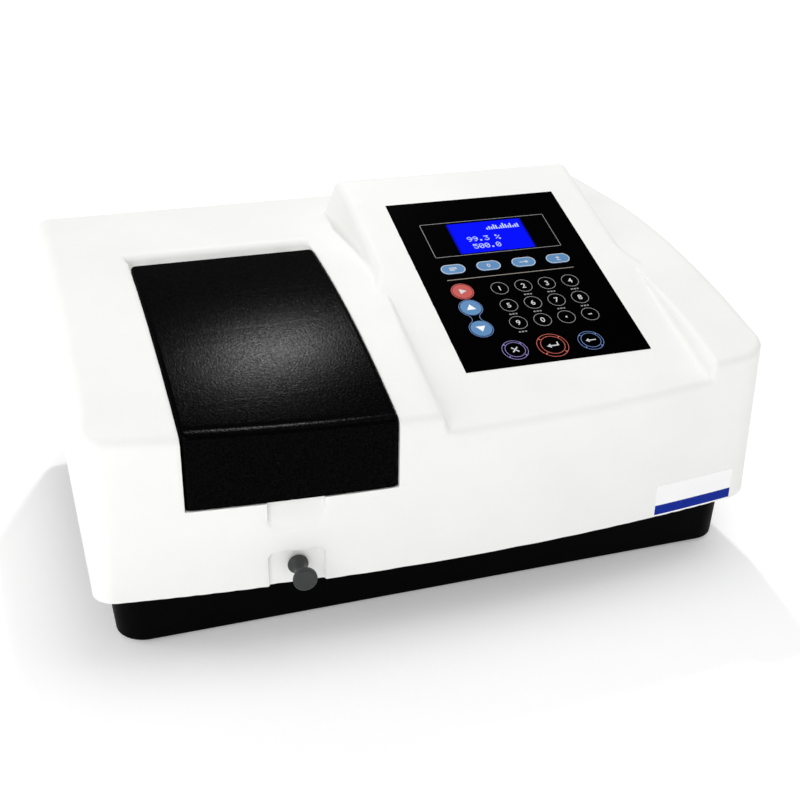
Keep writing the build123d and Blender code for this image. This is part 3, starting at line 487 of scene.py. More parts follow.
def f_body(x, y, z):
    """Outside of the cover, closed, without its openings."""
    side = np.abs(x - W / 2) - (W / 2 + E_BOT - E_SLOPE * (z - HB))
    front = f_front(x, y)
    plan = rint(rint(side, front, np.where(x < W / 2, 13.0, 24.0)), y - D, 11.0)
    zp = ZF + SL * (y + 36)
    ca = math.cos(AL)
    pl = (z - zp) * ca
    back = ((y - 218.0) * 34.8 + (z - 233.3) * 22.0) / math.hypot(34.8, 22.0)
    hood = rint(pl, back, 10.0)
    crest = f_crest(y, z)
    up = z - zp
    ext = 12.0 * (1 - sstep(82.0, 118.0, y))
    xw_l = 209.3 - 0.10 * np.maximum(-up, 0) - ext
    xw_r = 400.4 + 0.10 * np.maximum(-up, 0) + ext
    dz = np.abs(zcrest(y) - zp)
    rc = 0.4 + 4.6 * sstep(-1.0, 10.0, dz)
    rf = 0.3 + 3.2 * sstep(0.0, 9.0, dz)
    con = rint(rint(hood, xw_l - x, 5.5), x - xw_r, 5.5)
    out = 1.2
    bl_l = 209.3 - 0.22 * np.maximum(up, 0) + out * np.maximum(-up, 0)
    bl_r = 400.4 + 0.10 * np.maximum(up, 0) - out * np.maximum(-up, 0)
    nn = 1 + 0.56 * sstep(0.5, -1.5, up)
    left = rint(crest, (x - bl_l) / nn, rc)
    right = rint(crest, (bl_r - x) / nn, rc)
    rear = rint(crest, 232.0 - y, 2.0)
    top = np.minimum(runi(runi(left, con, rf), right, rf), runi(con, rear, 3.5))
    ed = 9.0 - 4.5 * sstep(-26.0, -6.0, front - side)
    return rint(plan, top, ed)


def f_pockets(x, y, z, grow=0.0):
    # finger notch under the lid, and the recess round the pull knob
    yb = bow_y(x)
    a = rint(rect2(x, z, (93.7, 129.2, 86.6, 130.0), 8.0), y - yb - 0.5 - 2.9 * sstep(86.0, 103.0, z), 1.6)
    b = rint(rect2(x, z, (93.0, 128.8, 20.0, 70.0), 4.5), y - yb - 2.3, 1.2)
    return np.minimum(a, b) - grow


def f_trough(x, y, z, grow=0.0):
    g = np.maximum(rect2(x, y, (XL - 0.6, XR + 0.6, 120.0, 190.0), 3.2), TRZ - z)
    g = rint(g, ((y - 181.0) * 0.80 + (191.5 - z) * 0.60), 2.0)
    return g - grow


def f_cover(x, y, z):
    o = f_body(x, y, z)
    thick = T + 2.2 * (np.exp(-((x - 211.0) / 15.0) ** 2) + np.exp(-((x - 398.5) / 15.0) ** 2)) * sstep(40.0, 30.0, zcrest(y) - z)
    inner = rint(o + thick, -f_pockets(x, y, z, 2.4), 1.0)
    inner = rint(inner, -np.maximum(f_trough(x, y, z, 2.5), TR0 - 2.5 - y), 1.5)
    out = rsub(o, f_pockets(x, y, z), 1.3)
    # lid opening through the top and down the front
    lidcut = np.maximum(np.maximum(np.abs(x - (XL + XR) / 2) - ((XR - XL) / 2 + 0.6), y - TR0), ZLB - 0.7 - z)
    out = rsub(out, np.maximum(f_trough(x, y, z), TR0 - 1 - y), 0.7 + 2.8 * sstep(171.0, 179.0, y))
    out = rsub(out, lidcut, 0.7)
    f = np.maximum(out, -inner)
    f = rint(f, HB - z, 0.6)
    # the membrane's opening
    ca, sa = math.cos(AL), math.sin(AL)
    v = (y + 36) * ca + (z - ZF) * sa
    w = -(y + 36) * sa + (z - ZF) * ca
    f = np.maximum(f, -np.maximum(rect2(x, v, (MX0 - 0.12, MX1 + 0.12, MV0 - 0.12, MV1 + 0.12), 0.6), np.abs(w) - 8))
    # pull rod
    f = np.maximum(f, -np.maximum(np.hypot(x - XCELL, z - ROD_Z) - 5.0, np.abs(y + 27) - 12))
    # rear openings
    rr = np.abs(y - D) - 8
    cuts = rect2(x, z, (INX - 14.2, INX + 14.2, INZ - 10.6, INZ + 10.6), 1.0)
    cuts = np.minimum(cuts, rect2(x, z, (SWX - 6.8, SWX + 6.8, SWZ - 10.8, SWZ + 10.8), 0.8))
    cuts = np.minimum(cuts, rect2(x, z, (239.5, 271.5, 62.6, 75.4), 0.8))
    for k in range(7):
        zz = FZ - 24 + 8 * k
        hw = math.sqrt(max(27.0 ** 2 - (zz - FZ) ** 2, 0))
        cuts = np.minimum(cuts, rect2(x, z, (FX - hw, FX + hw, zz - 2, zz + 2), 1.9))
    xs = np.abs(((x - 32.0 + 6.0) % 12.0) - 6.0)
    slots = np.maximum(np.hypot(np.maximum(xs, 0), np.maximum(np.abs(z - 147.5) - 15.5, 0)) - 2.0, np.abs(x - 80.0) - 54.0)
    cuts = np.minimum(cuts, slots)
    f = rsub(f, np.maximum(cuts, rr), 0.5)
    # hinge knuckles
    kn = np.abs(((x - 64.85) % 92.15) - 10.15)
    hxs = np.minimum(np.minimum(np.abs(x - 54.85), np.abs(x - 75.15)), np.minimum(np.abs(x - 146.85), np.abs(x - 167.15))) - 2.85
    body = np.minimum(np.hypot(y - HY, z - HZ) - KR, np.maximum(np.abs(y - HY) - KR, np.maximum(z - HZ, TRZ - 1 - z)))
    f = np.minimum(f, rint(body, hxs, 0.4))
    f = np.maximum(f, -np.maximum(np.hypot(y - HY, z - HZ) - 1.5, np.abs(x - 111.0) - 60.0))
    return f


q = 1.0
gx = lines(-15.3, (4, 1.5 * q), (28, 4 * q), (52, 2), (60, 1.4), (72, 2), (80, 1.4), (132, 2), (142, 2.5 * q), (152, 1.4), (162, 2.5), (171, 1.3),
           (182, 1.2), (203, 5), (214, 1.1 * q), (234, 5), (242, 1.2), (273, 2.5), (366, 6), (376, 1.2),
           (396, 2.5), (407, 1.1 * q), (436, 2.5), (455.3, 1.5 * q))
gy = lines(-38.2, (-10, 1.3 * q), (4, 2), (162, 3.3), (183, 1.2), (190, 1.2), (208, 3), (245, 1.4 * q), (259, 3.5), (283, 2.0), (296.2, 1.2))
gz = lines(43.6, (49, 1.0), (68, 2.5), (126, 2), (138, 2.5), (236.5, 1.5 * q))
V, Q = contour(f_cover, gx, gy, gz)
cover = mesh_obj("cover_shell", row(V), Q, [M["shell"]], sharp=42)
drop_loose(cover)
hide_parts("top_cover")
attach(cover, "housing")


# ------------------------------------------------------------------ the lid
def f_lid(x, y, z):
    xx = np.abs(x - (XL + XR) / 2) - (XR - XL) / 2
    fr = f_front(x, y)
    plan = rint(rint(xx, fr, 3.6), y - YLR, 3.6)
    top = f_crest(y, z, LIDP)
    # a shallow groove just behind the front crease
    yb = bow_y(x)
    top = top + 0.2 * np.exp(-((y - yb - 6.0) / 1.7) ** 2)
    o = rint(plan, top, 2.4)
    i = np.maximum(np.maximum(np.maximum(xx, fr), y - YLR) + LT, f_crest(y, z, LIDP - LT))
    f = np.maximum(o, -i)
    zlow = np.where(y < -8, ZLB, zcrest(y, LIDP) - 12.0)
    f = rint(f, (zlow - z) * np.where(y < -8, 1.0, 0.97), 0.7)
    for x0, x1 in ((58.0, 72.0), (150.0, 164.0)):
        cut = sbox(x, y, z, (x0, x1, YLR - LT, YLR + 3, HZ - 5, HZ - 2.2))
        f = np.maximum(f, -cut)
        lug = np.maximum(np.maximum(np.abs(x - (x0 + x1) / 2) - (x1 - x0) / 2, np.abs(z - HZ) - 2.2), np.abs(y - (YLR - 10 + HY) / 2) - (HY - YLR + 10) / 2)
        barrel = rint(np.hypot(y - HY, z - HZ) - KR, np.abs(x - (x0 + x1) / 2) - (x1 - x0) / 2, 0.4)
        web = np.maximum(np.maximum(np.abs(x - (x0 + x1) / 2) - (x1 - x0) / 2, np.abs(y - (YLR - 6.1)) - 3.9),
                         np.maximum(HZ - 2.2 - z, f_crest(y, z, LIDP - LT + 0.4)))
        f = np.minimum(f, np.minimum(runi(lug, barrel, 1.0), web))
    f = np.maximum(f, -np.maximum(np.hypot(y - HY, z - HZ) - 1.56, np.abs(x - 111.0) - 62.0))
    return f


gx = lines(43.4, (50, 0.8 * q), (57, 2.5), (60, 0.9), (70, 2.2), (74, 0.9), (148, 4), (152, 0.9), (162, 2.2), (166, 0.9), (171, 2), (177.8, 0.8 * q))
gy = lines(-38.2, (-22, 0.6), (-6, 1.2), (150, 2.6 * q), (157, 1.4), (176.2, 0.8))
gz = lines(104.2, (110, 0.9), (140, 2.6), (160, 0.7), (206, 1.0 * q))
V, Q = contour(f_lid, gx, gy, gz)
lid = mesh_obj("lid_shell", row(V), Q, [M["lid"]], sharp=42)
drop_loose(lid)
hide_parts("lid")
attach(lid, "lid")


# ------------------------------------------------------------------ moulded skirt round the base tray
def skirt_loop(z, inset, n=20):
    """Plan outline of the skirt at height z, drawn in by inset, with round corners."""
    g = 0.15 + max(z, -1.0) * math.tan(math.radians(2.0)) - inset
    r = BASE_R - inset
    x0, x1, y0, y1 = -g + r, W + 3.9 + g - r, -g + r, BASE_D + g - r
    out = []
    for cx, cy, a0 in ((x1, y1, 0.0), (x0, y1, 90.0), (x0, y0, 180.0), (x1, y0, 270.0)):
        for k in range(n + 1):
            t = math.radians(a0 + 90.0 * k / n)
            out.append((cx + r * math.cos(t), cy + r * math.sin(t), z))
    return out


rings = [skirt_loop(45.85, 2.6), skirt_loop(-1.05, 2.6)]
for k in range(9):
    t = math.radians(90.0 * k / 8)
    rings.append(skirt_loop(-1.05 + 1.6 * (1 - math.cos(t)), 1.6 * (1 - math.sin(t))))
rings.append(skirt_loop(22.0, 0.0))
rings.append(skirt_loop(45.85, 0.0))
n = len(rings[0])
V = [p for r_ in rings for p in r_]
Q = []
for i in range(len(rings)):
    j = (i + 1) % len(rings)
    for k in range(n):
        m = (k + 1) % n
        Q.append((i * n + k, i * n + m, j * n + m, j * n + k))
skirt = mesh_obj("base_skirt", row(np.array(V)), np.array(Q), [M["base"]], sharp=42)
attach(skirt, "housing")


# ------------------------------------------------------------------ data socket in the rear opening
def dloop(wd, hg, r, y, n=6):
    """D-shaped outline, wider at the top, in the plane y."""
    cx, cz = 255.5, 69.0
    out = []
    for ax, az, a0 in ((wd / 2 - r, hg / 2 - r, 0), (-wd / 2 + r, hg / 2 - r, 90), (-wd / 2 + r, -hg / 2 + r, 180), (wd / 2 - r, -hg / 2 + r, 270)):
        for k in range(n + 1):
            t = math.radians(a0 + 90 * k / n)
            px, pz = ax + r * math.cos(t), az + r * math.sin(t)
            k2 = 1 + 0.10 * pz / hg * (2 if wd < 20 else 0)
            out.append((cx - px * k2, y, cz + pz))
    return out


def rings_mesh(name, groups, mat):
    """Closed rings, each lofted through its loops; a group marked True is capped instead."""
    vs, fs = [], []
    for loops, capped in groups:
        base, m = len(vs), len(loops[0])
        vs += [p for l_ in loops for p in l_]
        cnt = len(loops)
        for i in range(cnt - 1 if capped else cnt):
            j = (i + 1) % cnt
            for k in range(m):
                k1 = (k + 1) % m
                fs.append((base + i * m + k, base + i * m + k1, base + j * m + k1, base + j * m + k))
        if capped:
            fs.append([base + k for k in reversed(range(m))])
            fs.append([base + (cnt - 1) * m + k for k in range(m)])
    ob = mesh_obj(name, row(np.array(vs)), fs, [mat], sharp=35)
    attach(ob, "housing")
    return ob


def pegs(cx, cz, r, y0, y1, n):
    f = lambda y, rr: [(cx - rr * math.cos(2 * math.pi * k / n), y, cz + rr * math.sin(2 * math.pi * k / n)) for k in range(n)]
    return ([f(y0, r), f(y1 - 0.15, r), f(y1, r - 0.15)], True)


plate = [dloop(30.4, 11.8, 0.6, D - 0.20), dloop(14.6, 6.6, 1.3, D - 0.20), dloop(14.6, 6.6, 1.3, D - 0.75), dloop(30.4, 11.8, 0.6, D - 0.75)]
tube = [dloop(14.6, 6.6, 1.3, D - 0.02), dloop(13.6, 5.6, 1.0, D - 0.02), dloop(13.6, 5.6, 1.0, D - 5.8), dloop(14.6, 6.6, 1.3, D - 5.8)]
rings_mesh("socket_shell", [(plate, False), (tube, False), pegs(243.8, 69.0, 2.85, D - 0.7, D + 0.05, 6), pegs(267.2, 69.0, 2.85, D - 0.7, D + 0.05, 6)], M["steel"])
rings_mesh("socket_insert", [([dloop(13.5, 5.5, 1.0, D - 5.9), dloop(13.5, 5.5, 1.0, D - 4.2)], True)], M["inlet"])
pins = [pegs(255.5 + 2.3 * (k - 2), 70.2, 0.45, D - 5.0, D - 1.2, 12) for k in range(5)] + [pegs(255.5 + 2.3 * (k - 1.5), 67.8, 0.45, D - 5.0, D - 1.2, 12) for k in range(4)]
rings_mesh("socket_pins", pins, M["brass"])


# ------------------------------------------------------------------ pull knob, lathed
def lathe(name, prof, mats, n=72, axis_at=(0, 0, 0), smooth=True, sharp=50):
    vs, fs = [], []
    m = len(prof)
    for k in range(n):
        a = 2 * math.pi * k / n
        for r, y in prof:
            vs.append((axis_at[0] + r * math.cos(a), y, axis_at[2] + r * math.sin(a)))
    for k in range(n):
        for j in range(m - 1):
            a, b = k * m + j, ((k + 1) % n) * m + j
            fs.append((a, a + 1, b + 1, b))
    fs.append([k * m for k in range(n)])
    fs.append([k * m + m - 1 for k in reversed(range(n))])
    return mesh_obj(name, row(vs), fs, mats, smooth, sharp)


def spline(pts, n):
    """Catmull-Rom through the points."""
    p = np.array(pts, float)
    p = np.vstack([2 * p[0] - p[1], p, 2 * p[-1] - p[-2]])
    out = []
    for i in range(1, len(p) - 2):
        for t in np.linspace(0, 1, n, endpoint=False):
            out.append(0.5 * ((2 * p[i]) + (-p[i - 1] + p[i + 1]) * t + (2 * p[i - 1] - 5 * p[i] + 4 * p[i + 1] - p[i + 2]) * t * t
                              + (-p[i - 1] + 3 * p[i] - 3 * p[i + 1] + p[i + 2]) * t ** 3))
    out.append(p[-2])
    return np.array(out)


KN = -53.6
prof = [(0.05, KN + 0.30), (3.6, KN + 0.24)]
prof += list(map(tuple, spline([(5.6, KN + 0.12), (6.7, KN + 0.12), (7.45, KN + 0.7), (7.7, KN + 1.8), (7.7, KN + 3.1), (7.3, KN + 4.2), (6.3, KN + 5.3),
                                (4.8, KN + 6.2), (3.7, KN + 8.0), (3.25, KN + 10.5), (3.3, KN + 13.4), (3.9, KN + 15.6), (5.2, KN + 17.4),
                                (6.4, KN + 18.6), (6.65, KN + 19.4), (6.55, KN + 20.2), (5.2, KN + 20.9), (4.6, KN + 21.4), (4.4, KN + 22.4), (4.3, KN + 23.0)], 4)))
prof += [(3.0, KN + 23.0), (3.0, KN + 22.95)]
knob = lathe("knob_spool", prof, [M["knob"]], 80, (XCELL, 0, ROD_Z))
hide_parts("rod_knob")
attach(knob, "carriage")

# ------------------------------------------------------------------ prints on the console
KEYS = {
    "key_f1": (263.9, 150.7), "key_f2": (291.1, 150.7), "key_f3": (318.4, 150.7), "key_f4": (345.6, 150.7),
    "key_start": (262.4, 126.5), "key_up": (262.4, 109.1), "key_down": (262.4, 87.7),
    "key_clear": (277.9, 63.6), "key_enter": (305.5, 63.6), "key_back": (334.0, 63.6)}
for n, x, v in (("key_1", 290.1, 125.4), ("key_2", 308.3, 125.4), ("key_3", 326.4, 125.4), ("key_4", 344.6, 125.4),
                ("key_5", 290.1, 107.1), ("key_6", 308.3, 107.1), ("key_7", 326.4, 107.1), ("key_8", 344.6, 107.1),
                ("key_9", 290.1, 88.9), ("key_0", 308.3, 88.9), ("key_point", 326.4, 88.9), ("key_minus", 344.6, 88.9)):
    KEYS[n] = (x, v)


class Print:
    """Thin closed layers of ink in console-local coordinates."""

    def __init__(self, w0, w1):
        self.w0, self.w1, self.v, self.f, self.m, self.cur = w0, w1, [], [], [], 0

    def ink(self, k):
        self.cur = k
        return self

    def poly(self, pts):
        n, b = len(pts), len(self.v)
        self.v += [(p[0], p[1], self.w1) for p in pts] + [(p[0], p[1], self.w0) for p in pts]
        a = sum(pts[i][0] * pts[(i + 1) % n][1] - pts[(i + 1) % n][0] * pts[i][1] for i in range(n))
        o = list(range(n)) if a > 0 else list(range(n))[::-1]
        fs = [[b + i for i in o], [b + n + i for i in reversed(o)]]
        for i in range(n):
            p, q = o[i], o[(i + 1) % n]
            fs.append([b + q, b + p, b + n + p, b + n + q])
        self.f += fs
        self.m += [self.cur] * len(fs)
        return self

    def stroke(self, pts, wd, closed=True):
        """Line of constant width; mitred at its corners."""
        p = np.array(pts, float)
        n, b = len(p), len(self.v)
        nx = np.roll(p, -1, 0) - p
        pv = p - np.roll(p, 1, 0)
        if not closed:
            nx[-1], pv[0] = pv[-1], nx[0]
        nx /= np.linalg.norm(nx, axis=1, keepdims=True)
        pv /= np.linalg.norm(pv, axis=1, keepdims=True)
        t = nx + pv
        t /= np.maximum(np.linalg.norm(t, axis=1, keepdims=True), 1e-9)
        k = 1 / np.maximum((t * nx).sum(1), 0.4)
        nr = np.stack([-t[:, 1], t[:, 0]], 1) * (k * wd / 2)[:, None]
        L, R = p + nr, p - nr
        for q, w in ((L, self.w1), (R, self.w1), (L, self.w0), (R, self.w0)):
            self.v += [(a[0], a[1], w) for a in q]
        m = n if closed else n - 1
        fs = []
        for i in range(m):
            j = (i + 1) % n
            l0, l1, r0, r1 = b + i, b + j, b + n + i, b + n + j
            fs += [[l0, r0, r1, l1], [l0 + 2 * n, l1 + 2 * n, r1 + 2 * n, r0 + 2 * n],
                   [l0, l1, l1 + 2 * n, l0 + 2 * n], [r1, r0, r0 + 2 * n, r1 + 2 * n]]
        if not closed:
            e = n - 1
            fs += [[b, b + 2 * n, b + 3 * n, b + n], [b + e, b + n + e, b + 3 * n + e, b + 2 * n + e]]
        self.f += fs
        self.m += [self.cur] * len(fs)
        return self

    def ring(self, x, v, r, wd, n=72):
        return self.stroke([(x + r * math.cos(2 * math.pi * i / n), v + r * math.sin(2 * math.pi * i / n)) for i in range(n)], wd)

    def bar(self, x0, x1, v0, v1):
        return self.poly([(x0, v0), (x1, v0), (x1, v1), (x0, v1)])

    def text(self, s, x, v, size, bold=0.0):
        cu = bpy.data.curves.new("glyph", "FONT")
        cu.body, cu.size, cu.align_x, cu.align_y = s, size, "CENTER", "CENTER"
        cu.resolution_u = 5
        cu.extrude = (self.w1 - self.w0) / 2
        cu.offset = bold
        ob = bpy.data.objects.new("glyph", cu)
        bpy.context.scene.collection.objects.link(ob)
        me = bpy.data.meshes.new_from_object(ob.evaluated_get(bpy.context.evaluated_depsgraph_get()))
        bm = bmesh.new()
        bm.from_mesh(me)
        bmesh.ops.remove_doubles(bm, verts=bm.verts, dist=1e-4)
        bmesh.ops.recalc_face_normals(bm, faces=bm.faces)
        co = np.array([q.co[:] for q in bm.verts])
        cx, cy = (co[:, 0].min() + co[:, 0].max()) / 2, (co[:, 1].min() + co[:, 1].max()) / 2
        b = len(self.v)
        self.v += [(x + c[0] - cx, v + c[1] - cy, (self.w0 + self.w1) / 2 + c[2]) for c in co]
        bm.verts.index_update()
        for f in bm.faces:
            self.f.append([b + q.index for q in f.verts])
            self.m.append(self.cur)
        bm.free()
        bpy.data.objects.remove(ob)
        bpy.data.meshes.remove(me)
        bpy.data.curves.remove(cu)
        return self

    def make(self, name, mats, body):
        a = np.array(self.v)
        ob = mesh_obj(name, row(panel(a[:, 0], a[:, 1], a[:, 2])), self.f, mats, False, None, self.m)
        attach(ob, body)
        return ob


def roundrect(x0, x1, v0, v1, r, n=6):
    out = []
    for cx, cv, a0 in ((x1 - r, v0 + r, -90), (x1 - r, v1 - r, 0), (x0 + r, v1 - r, 90), (x0 + r, v0 + r, 180)):
        for i in range(n + 1):
            a = math.radians(a0 + 90 * i / n)
            out.append((cx + r * math.cos(a), cv + r * math.sin(a)))
    return out


# lines, rings and small dashes on the overlay
INKS = [M["inkgrey"], M["inktan"], M["inkblue"], M["inkviolet"], M["inkred"], M["ink"]]
P = Print(0.02, 0.16)
P.ink(0).stroke(roundrect(255.6, 354.3, 164.9, 203.1, 0.8), 0.38)
P.ink(1).stroke([(255.6, 139.6), (353.6, 139.6)], 0.55, closed=False)
# outline round the two arrow keys
R1, dv, hw = 8.35, 10.7, 3.0
R2 = (R1 * R1 - dv * dv - hw * hw) / (2 * (hw - R1))
c2 = hw + R2
a1 = math.atan2(-dv, c2)
mid = (109.1 + 87.7) / 2
side = [(R1 * math.cos(t), dv + R1 * math.sin(t)) for t in np.linspace(math.pi / 2, a1, 34)]
a2 = math.atan2(dv, -c2)
side += [(c2 + R2 * math.cos(t), R2 * math.sin(t)) for t in np.linspace(a2, math.pi, 9)][1:]
half = side + [(x, -y) for x, y in reversed(side[:-1])]
out = half + [(-x, y) for x, y in reversed(half[1:-1])]
P.ink(2).stroke([(262.4 + x, mid + y) for x, y in out], 0.4)
for (n, col, r) in (("key_clear", 3, 9.0), ("key_enter", 4, 11.0), ("key_back", 2, 9.0)):
    x, v = KEYS[n]
    P.ink(col).ring(x, v, r, 0.36)
    ri = 7.65 if r < 10 else 9.25
    for a in (45, 135, 225, 315):
        ca, sa = math.cos(math.radians(a)), math.sin(math.radians(a))
        P.stroke([(x + ri * ca, v + ri * sa), (x + (r - 0.2) * ca, v + (r - 0.2) * sa)], 0.9, closed=False)
for k in "23456789":
    x, v = KEYS["key_" + k]
    for dx, wd in ((-2.2, 1.5), (0.1, 1.7), (2.3, 1.3)):
        P.ink(0).bar(x + dx - wd / 2, x + dx + wd / 2, v - 9.4, v - 8.3)
P.make("panel_print", INKS, "housing")

# prints on the keys; each rides on its key
for n, (x, v) in KEYS.items():
    P = Print(0.38, 0.505)
    t = n[4:]
    if t in ("1", "2", "3", "4", "5", "6", "7", "8", "9", "0"):
        P.ink(0).ring(x, v, 6.25, 0.38, 64)
        P.ink(5).text(t, x, v, 6.6, 0.06)
    elif t == "point":
        P.ink(0).ring(x, v, 6.25, 0.38, 64)
        P.ink(5).poly([(x + 0.75 * math.cos(a), v + 0.75 * math.sin(a)) for a in np.linspace(0, 2 * math.pi, 20, endpoint=False)])
    elif t == "minus":
        P.ink(0).ring(x, v, 6.25, 0.38, 64)
        P.ink(5).bar(x - 1.4, x + 1.4, v - 0.4, v + 0.4)
    elif t[0] == "f":
        n2 = []
        for cx, s in ((x + 9.15 - 5.0 - 0.0, 1), (x - 9.15 + 5.0, -1)):
            for a in np.linspace(-90, 90, 17) if s > 0 else np.linspace(90, 270, 17):
                n2.append((cx + 4.62 * math.cos(math.radians(a)), v + 4.62 * math.sin(math.radians(a))))
        P.ink(5).stroke(n2, 0.5)
        if t == "f1":
            for k, wd in ((1.35, 5.6), (0.0, 5.6), (-1.35, 3.6)):
                P.bar(x - 2.8, x - 2.8 + wd, v + k - 0.36, v + k + 0.36)
        elif t == "f2":
            P.text("0", x, v, 5.2, 0.05)
        elif t == "f3":
            P.stroke([(x - 3.4, v), (x + 2.6, v)], 0.75, closed=False)
            P.poly([(x + 1.4, v - 1.7), (x + 3.9, v), (x + 1.4, v + 1.7)])
        else:
            P.bar(x - 0.36, x + 0.36, v - 0.9, v + 2.3)
            P.bar(x - 1.6, x - 0.3, v + 0.34, v + 1.06)
            P.bar(x + 0.3, x + 1.6, v + 0.34, v + 1.06)
            P.bar(x - 1.6, x + 1.6, v - 2.2, v - 1.5)
    elif t == "start":
        P.ink(6).ring(x, v, 7.35, 0.32, 72)
        P.ink(5).poly([(x - 2.0, v - 2.7), (x + 3.1, v), (x - 2.0, v + 2.7)])
    elif t in ("up", "down"):
        s = 1 if t == "up" else -1
        P.ink(7).poly([(x - 3.5, v - 2.1 * s), (x + 3.5, v - 2.1 * s), (x, v + 3.3 * s)])
    else:
        P.ink({"clear": 3, "enter": 4, "back": 2}[t]).ring(x, v, 8.45 if t == "enter" else 6.95, 0.38, 72)
        P.ink(5)
        if t == "clear":
            P.stroke([(x - 2.2, v - 2.2), (x + 2.2, v + 2.2)], 0.85, closed=False)
            P.stroke([(x - 2.2, v + 2.2), (x + 2.2, v - 2.2)], 0.85, closed=False)
        elif t == "enter":
            P.stroke([(x + 3.8, v + 2.4), (x + 3.8, v - 0.7), (x - 2.6, v - 0.7)], 0.95, closed=False)
            P.poly([(x - 1.6, v + 1.3), (x - 4.4, v - 0.7), (x - 1.6, v - 2.7)])
        else:
            P.stroke([(x + 3.6, v), (x - 2.4, v)], 0.85, closed=False)
            P.poly([(x - 1.4, v + 1.8), (x - 4.0, v), (x - 1.4, v - 1.8)])
    P.make(n + "_print", INKS + [M["kblack"], M["inkwhite"]], n)

# ------------------------------------------------------------------ display
FONT = {"0": "01110 10001 10011 10101 11001 10001 01110", "3": "11111 00010 00100 00010 00001 10001 01110",
        "5": "11111 10000 11110 00001 00001 10001 01110", "9": "01110 10001 10001 01111 00001 00010 01100",
        ".": "00000 00000 00000 00000 00000 01100 01100", "%": "11000 11001 00010 00100 01000 10011 00011",
        " ": "00000 00000 00000 00000 00000 00000 00000"}
P = Print(-0.06, 0.03)
DP = 0.74
for txt, x0, v1 in (("99.3 %", 286.0, 184.6), ("500.0", 288.0, 176.2)):
    for ci, ch in enumerate(txt):
        for r, line in enumerate(FONT[ch].split()):
            for c, bit in enumerate(line):
                if bit == "1":
                    x, v = x0 + (ci * 6 + c) * DP, v1 - r * DP
                    P.bar(x, x + DP * 0.97, v - DP * 0.97, v)
for i, hgt in enumerate((3, 5, 4, 7, 6, 2, 5, 8, 6, 4, 7, 3, 5, 6)):
    x = 305.0 + i * 1.9
    P.bar(x, x + 1.15, 191.2, 191.2 + hgt * 0.74)
P.make("display_text", [M["lcdtext"]], "housing")

# ------------------------------------------------------------------ bare label on the bowed front
LV, LF, LM = [], [], []
xs = np.linspace(366.0, 429.8, 22)
zs = [46.9, 47.6, 55.1, 70.6]
for yo in (-0.45, 0.35):
    for z in zs:
        for x in xs:
            LV.append((x, float(bow_y(x)) + yo + (0.08 if yo < 0 and (x in (xs[0], xs[-1]) or z in (zs[0], zs[-1])) else 0.0), z))
nx_, nz_ = len(xs), len(zs)


def lid_(s, j, i):
    return (s * nz_ + j) * nx_ + i


for j in range(nz_ - 1):
    for i in range(nx_ - 1):
        LF.append([lid_(0, j, i), lid_(0, j, i + 1), lid_(0, j + 1, i + 1), lid_(0, j + 1, i)])
        LM.append(1 if j == 1 else 0)
        LF.append([lid_(1, j, i), lid_(1, j + 1, i), lid_(1, j + 1, i + 1), lid_(1, j, i + 1)])
        LM.append(0)
for i in range(nx_ - 1):
    LF.append([lid_(0, 0, i), lid_(1, 0, i), lid_(1, 0, i + 1), lid_(0, 0, i + 1)])
    LF.append([lid_(0, nz_ - 1, i), lid_(0, nz_ - 1, i + 1), lid_(1, nz_ - 1, i + 1), lid_(1, nz_ - 1, i)])
    LM += [0, 0]
for j in range(nz_ - 1):
    LF.append([lid_(0, j, 0), lid_(0, j + 1, 0), lid_(1, j + 1, 0), lid_(1, j, 0)])
    LF.append([lid_(0, j, nx_ - 1), lid_(1, j, nx_ - 1), lid_(1, j + 1, nx_ - 1), lid_(0, j + 1, nx_ - 1)])
    LM += [0, 0]
label = mesh_obj("front_label", row(LV), LF, [M["paper"], M["band"]], True, 30, LM)
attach(label, "housing")

# ------------------------------------------------------------------ stage, light, camera
CAMC = (-0.259010, -0.775800, 0.486608)
TH, PSI, RO = math.radians(26.753855), math.radians(18.677837), math.radians(-0.580390)
fwd = Vector((math.cos(TH) * math.sin(PSI), math.cos(TH) * math.cos(PSI), -math.sin(TH)))
right = Vector((math.cos(PSI), -math.sin(PSI), 0.0))
down = fwd.cross(right)
r2 = right * math.cos(RO) + down * math.sin(RO)
d2 = -right * math.sin(RO) + down * math.cos(RO)
cam_d = bpy.data.cameras.new("camera")
cam = bpy.data.objects.new("camera", cam_d)
bpy.context.scene.collection.objects.link(cam)
rot = Matrix((r2, -d2, -fwd)).transposed()
cam.matrix_world = Matrix.Translation(CAMC) @ rot.to_4x4()
cam_d.sensor_fit = "HORIZONTAL"
cam_d.sensor_width = 36.0
cam_d.lens = 1212.2158 / 800 * 36.0
cam_d.shift_x = (400 - 390.666) / 800
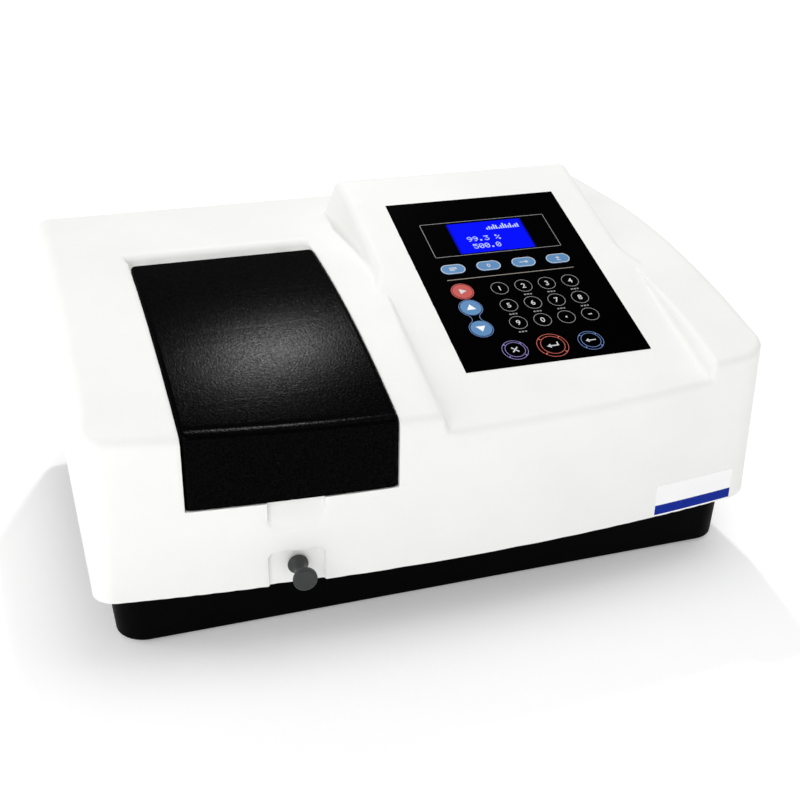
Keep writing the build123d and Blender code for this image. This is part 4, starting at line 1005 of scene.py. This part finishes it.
cam_d.shift_y = (421.542 - 400) / 800
cam_d.clip_start = 0.02
cam_d.clip_end = 60
bpy.context.scene.camera = cam

floor_m, nt, bs = new_mat("floor_pale")
bs.inputs["Base Color"].default_value = (0.93, 0.93, 0.93, 1)
bs.inputs["Roughness"].default_value = 0.9
bs.inputs["Specular IOR Level"].default_value = 0.0
bs.inputs["Emission Color"].default_value = (1, 1, 1, 1)
ln = nt.nodes.new("ShaderNodeVectorMath")
ln.operation = "LENGTH"
nt.links.new(objco(nt), ln.inputs[0])
nt.links.new(mrange(nt, ln.outputs["Value"], 0.35, 1.5, 0.22, 0.62), bs.inputs["Emission Strength"])
floor = mesh_obj("floor", [(-12, -12, 0), (12, -12, 0), (12, 12, 0), (-12, 12, 0)], [(0, 1, 2, 3)], [floor_m], False)

world = bpy.data.worlds.new("world")
bpy.context.scene.world = world
world.use_nodes = True
world.node_tree.nodes["Background"].inputs["Color"].default_value = (1, 1, 1, 1)
world.node_tree.nodes["Background"].inputs["Strength"].default_value = 0.55


def area(name, at, to, size, power, size_y=None):
    ld = bpy.data.lights.new(name, "AREA")
    ld.energy = power
    ld.size = size
    if size_y:
        ld.shape = "RECTANGLE"
        ld.size_y = size_y
    lo = bpy.data.objects.new(name, ld)
    bpy.context.scene.collection.objects.link(lo)
    lo.location = at
    lo.rotation_euler = (Vector(to) - Vector(at)).to_track_quat("-Z", "Y").to_euler()
    return lo


LIDC = Vector(row((115.3, 36.8, 175.5)))
KEYDIR = Vector((0.20, 0.593, 0.78)).normalized()
area("key", LIDC + KEYDIR * 2.4, LIDC, 0.15, 17.3)
area("side", (-1.9, 0.35, 0.75), (0, 0, 0.1), 1.2, 7.0)
area("front", (-1.1, -1.2, 0.8), (0, 0, 0.1), 1.0, 7.5)
area("top", (0.60, -0.3, 1.6), (0.1, 0, 0.15), 1.0, 3.9)

sc = bpy.context.scene
sc.view_settings.view_transform = "Standard"
sc.view_settings.look = "None"
sc.view_settings.exposure = 0.0
sc.view_settings.gamma = 1.0
